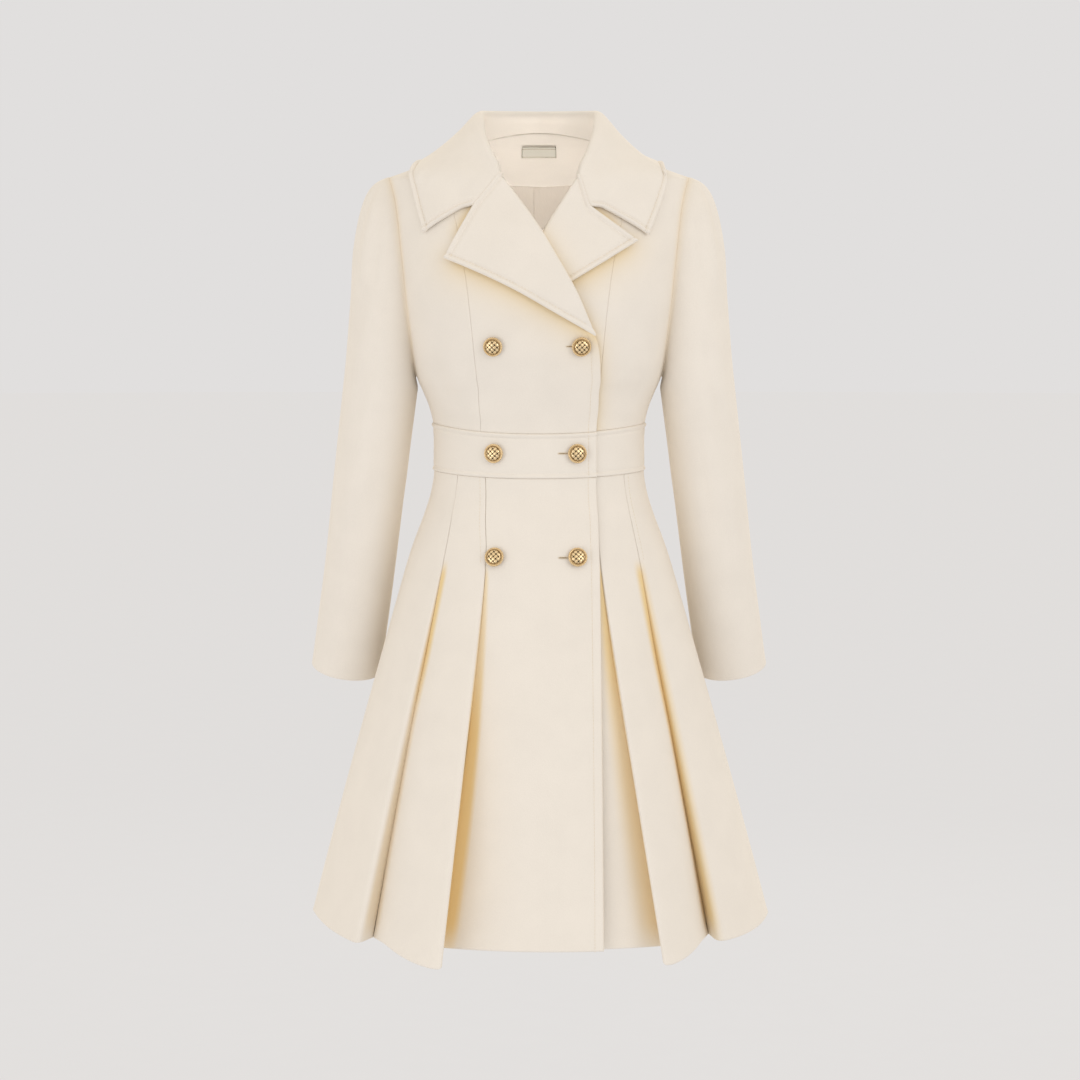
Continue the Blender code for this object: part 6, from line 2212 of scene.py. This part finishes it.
class COAT_OT_buttons(bpy.types.Operator):
    """Domed shank buttons with a rope rim and a plain basket-weave crown"""

    bl_idname = "coat.buttons"
    bl_label = "Buttons"

    def weave(self, x, y):
        """Height of a plain basket weave, from 0 between strips to 1."""
        x, y = (x + y) * WEAVE_DIAGONAL, (x - y) * WEAVE_DIAGONAL
        over = (np.floor(x / WEAVE_STRIP) + np.floor(y / WEAVE_STRIP)) % 2
        side_x = np.abs(np.sin(np.pi * x / WEAVE_STRIP))
        side_y = np.abs(np.sin(np.pi * y / WEAVE_STRIP))
        along_x = side_x ** WEAVE_ROUND * (WEAVE_UNDER + (1.0 - WEAVE_UNDER) * side_y)
        along_y = side_y ** WEAVE_ROUND * (WEAVE_UNDER + (1.0 - WEAVE_UNDER) * side_x)
        return np.where(over > 0.5, along_x, along_y)

    def rings(self, angle):
        """Radii and heights of a button's rings from the shank to the crown, and the painted light and shade
        of its points.
        """
        radii = [row.radius for row in BUTTON_OUTLINE]
        heights = [np.full(BUTTON_SIDES, row.height) for row in BUTTON_OUTLINE]
        polish = [np.full(BUTTON_SIDES, row.polish) for row in BUTTON_OUTLINE]
        for share in np.linspace(0.0, 1.0, DOME_RINGS + 2)[1:-1]:
            radius = DOME_RADIUS * (1 - share)
            weave = self.weave(radius * np.cos(angle), radius * np.sin(angle))
            weave = weave * ease((DOME_RADIUS - radius) / WEAVE_MARGIN)
            dome = DOME_LOW + DOME_RISE * math.sqrt(1 - (1 - share) ** 2)
            radii.append(radius)
            heights.append(dome + WEAVE_DEPTH * (weave - WEAVE_LEVEL))
            # Painted shade between the strips of the weave
            polish.append(ease((weave - WEAVE_DARK) / WEAVE_DARK_RUN))
        polish.append(np.array((CROWN_PAINTED_LIGHT, FOOT_PAINTED_LIGHT)))
        return radii, heights, np.concatenate(polish)

    def faces(self, rings):
        """Faces between the rings, then those that close the crown and the foot."""
        faces = []
        pairs = [(k, (k + 1) % BUTTON_SIDES) for k in range(BUTTON_SIDES)]
        for low in range(0, (rings - 1) * BUTTON_SIDES, BUTTON_SIDES):
            high = low + BUTTON_SIDES
            faces.extend((low + k, low + j, high + j, high + k) for k, j in pairs)
        last, crown = (rings - 1) * BUTTON_SIDES, rings * BUTTON_SIDES
        for k, j in pairs:
            faces.append((last + k, last + j, crown))
            faces.append((k, crown + 1, j))
        return faces

    def execute(self, context):
        gold = finishes(context, "gold")
        angle = np.linspace(0.0, 2 * math.pi, BUTTON_SIDES, endpoint=False)
        radii, heights, polish = self.rings(angle)
        faces = self.faces(len(radii))
        turns = {"Pitch": 2 * math.pi * ROPE_RADIUS / context.scene.coat_sizes.bead_count, **ROPE_TURN}
        for button in BUTTONS:
            turn = float(turn_at(button.x, button.z))
            normal = body_normal(turn, button.z)
            seat = body(turn, button.z) + normal * (float(lap(turn, button.z)) + seat_rise(button) + SEAM)
            across = unit(np.cross((0.0, 0.0, 1.0), normal))
            spoke = across * np.cos(angle)[:, None] + np.cross(normal, across) * np.sin(angle)[:, None]
            points = [seat + normal * high[:, None] + spoke * wide for wide, high in zip(radii, heights)]
            points.append(np.array((seat + normal * (DOME_LOW + DOME_RISE), seat)))
            piece = put_mesh(button.name + "_gold", np.concatenate(points), faces, gold)
            point_values(piece.data, "relief", polish)
            ring = seat + normal * ROPE_HEIGHT + spoke * ROPE_RADIUS
            upward = np.tile(normal, (BUTTON_SIDES, 1))
            rope = sew(button.name + "_rope", [(ring, upward)], turns, gold[0], closed=True)
            point_values(rope.data, "relief", np.full(len(rope.data.vertices), ROPE_PAINTED_LIGHT))
            for item in (piece, rope):
                tie(item)
            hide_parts(button.name)
        return {"FINISHED"}


class COAT_OT_buttonholes(bpy.types.Operator):
    """Worked buttonholes beside the inner buttons"""

    bl_idname = "coat.buttonholes"
    bl_label = "Buttonholes"

    def execute(self, context):
        half = context.scene.coat_sizes.buttonhole / 2
        angle = np.linspace(0.0, 2 * math.pi, HOLE_POINTS, endpoint=False)
        wave = np.sin(angle)
        lines, points, faces = [], [], []
        for button in BUTTONS:
            if button.name not in HOLE_SHOWS:
                continue
            middle = button.x - BUTTON_RADIUS - HOLE_SHOWS[button.name] + half
            x = middle + half * np.cos(angle)
            z = button.z + HOLE_HALF * np.sign(wave) * np.abs(wave) ** 0.5
            rise = np.full(HOLE_POINTS, seat_rise(button))
            lines.append((over_body(x, z, lap, rise + THREAD_LIFT), body_normal(turn_at(x, z), z)))
            # The slit is a sheet painted dark as the shade inside the buttonhole
            slit_x = middle + (half - SLIT_INSET) * np.cos(angle)
            faces.append(list(range(len(points), len(points) + HOLE_POINTS)))
            points.extend(over_body(slit_x, button.z + SLIT_HALF * wave, lap, rise + SLIT_LIFT))
        thread, slit = finishes(context, "thread", "slit")
        worked = sew("buttonhole_stitching", lines, HOLE_STITCH, thread, closed=True)
        slit_shades = put_mesh("buttonhole_slits", np.array(points), faces, [slit])
        for piece in (worked, slit_shades):
            tie(piece)
        return {"FINISHED"}


class COAT_PT_panel(bpy.types.Panel):
    """Lists the steps that build the coat"""

    bl_idname = "COAT_PT_panel"
    bl_label = "Coat"
    bl_space_type = "VIEW_3D"
    bl_region_type = "UI"
    bl_category = "Coat"

    def draw(self, context):
        for step in STEPS:
            self.layout.operator(step.bl_idname)
        for group in (context.scene.coat_sizes, context.scene.coat_colours):
            box = self.layout.box()
            for name in group.__annotations__:
                box.prop(group, name)


STEPS = (
    COAT_OT_stage,
    COAT_OT_bodice,
    COAT_OT_waistband,
    COAT_OT_skirt,
    COAT_OT_sleeves,
    COAT_OT_collar,
    COAT_OT_lapels,
    COAT_OT_inside,
    COAT_OT_buttons,
    COAT_OT_buttonholes,
)
CLASSES = (CoatSizes, CoatColours, *STEPS, COAT_PT_panel)


def register():
    for item in CLASSES:
        bpy.utils.register_class(item)
    bpy.types.Scene.coat_sizes = PointerProperty(type=CoatSizes)
    bpy.types.Scene.coat_colours = PointerProperty(type=CoatColours)


def unregister():
    del bpy.types.Scene.coat_colours
    del bpy.types.Scene.coat_sizes
    for item in reversed(CLASSES):
        bpy.utils.unregister_class(item)


def main():
    register()
    bpy.ops.coat.stage()
    bpy.ops.coat.bodice()
    bpy.ops.coat.waistband()
    bpy.ops.coat.skirt()
    bpy.ops.coat.sleeves()
    bpy.ops.coat.collar()
    bpy.ops.coat.lapels()
    bpy.ops.coat.inside()
    bpy.ops.coat.buttons()
    bpy.ops.coat.buttonholes()


if __name__ == "__main__":
    main()
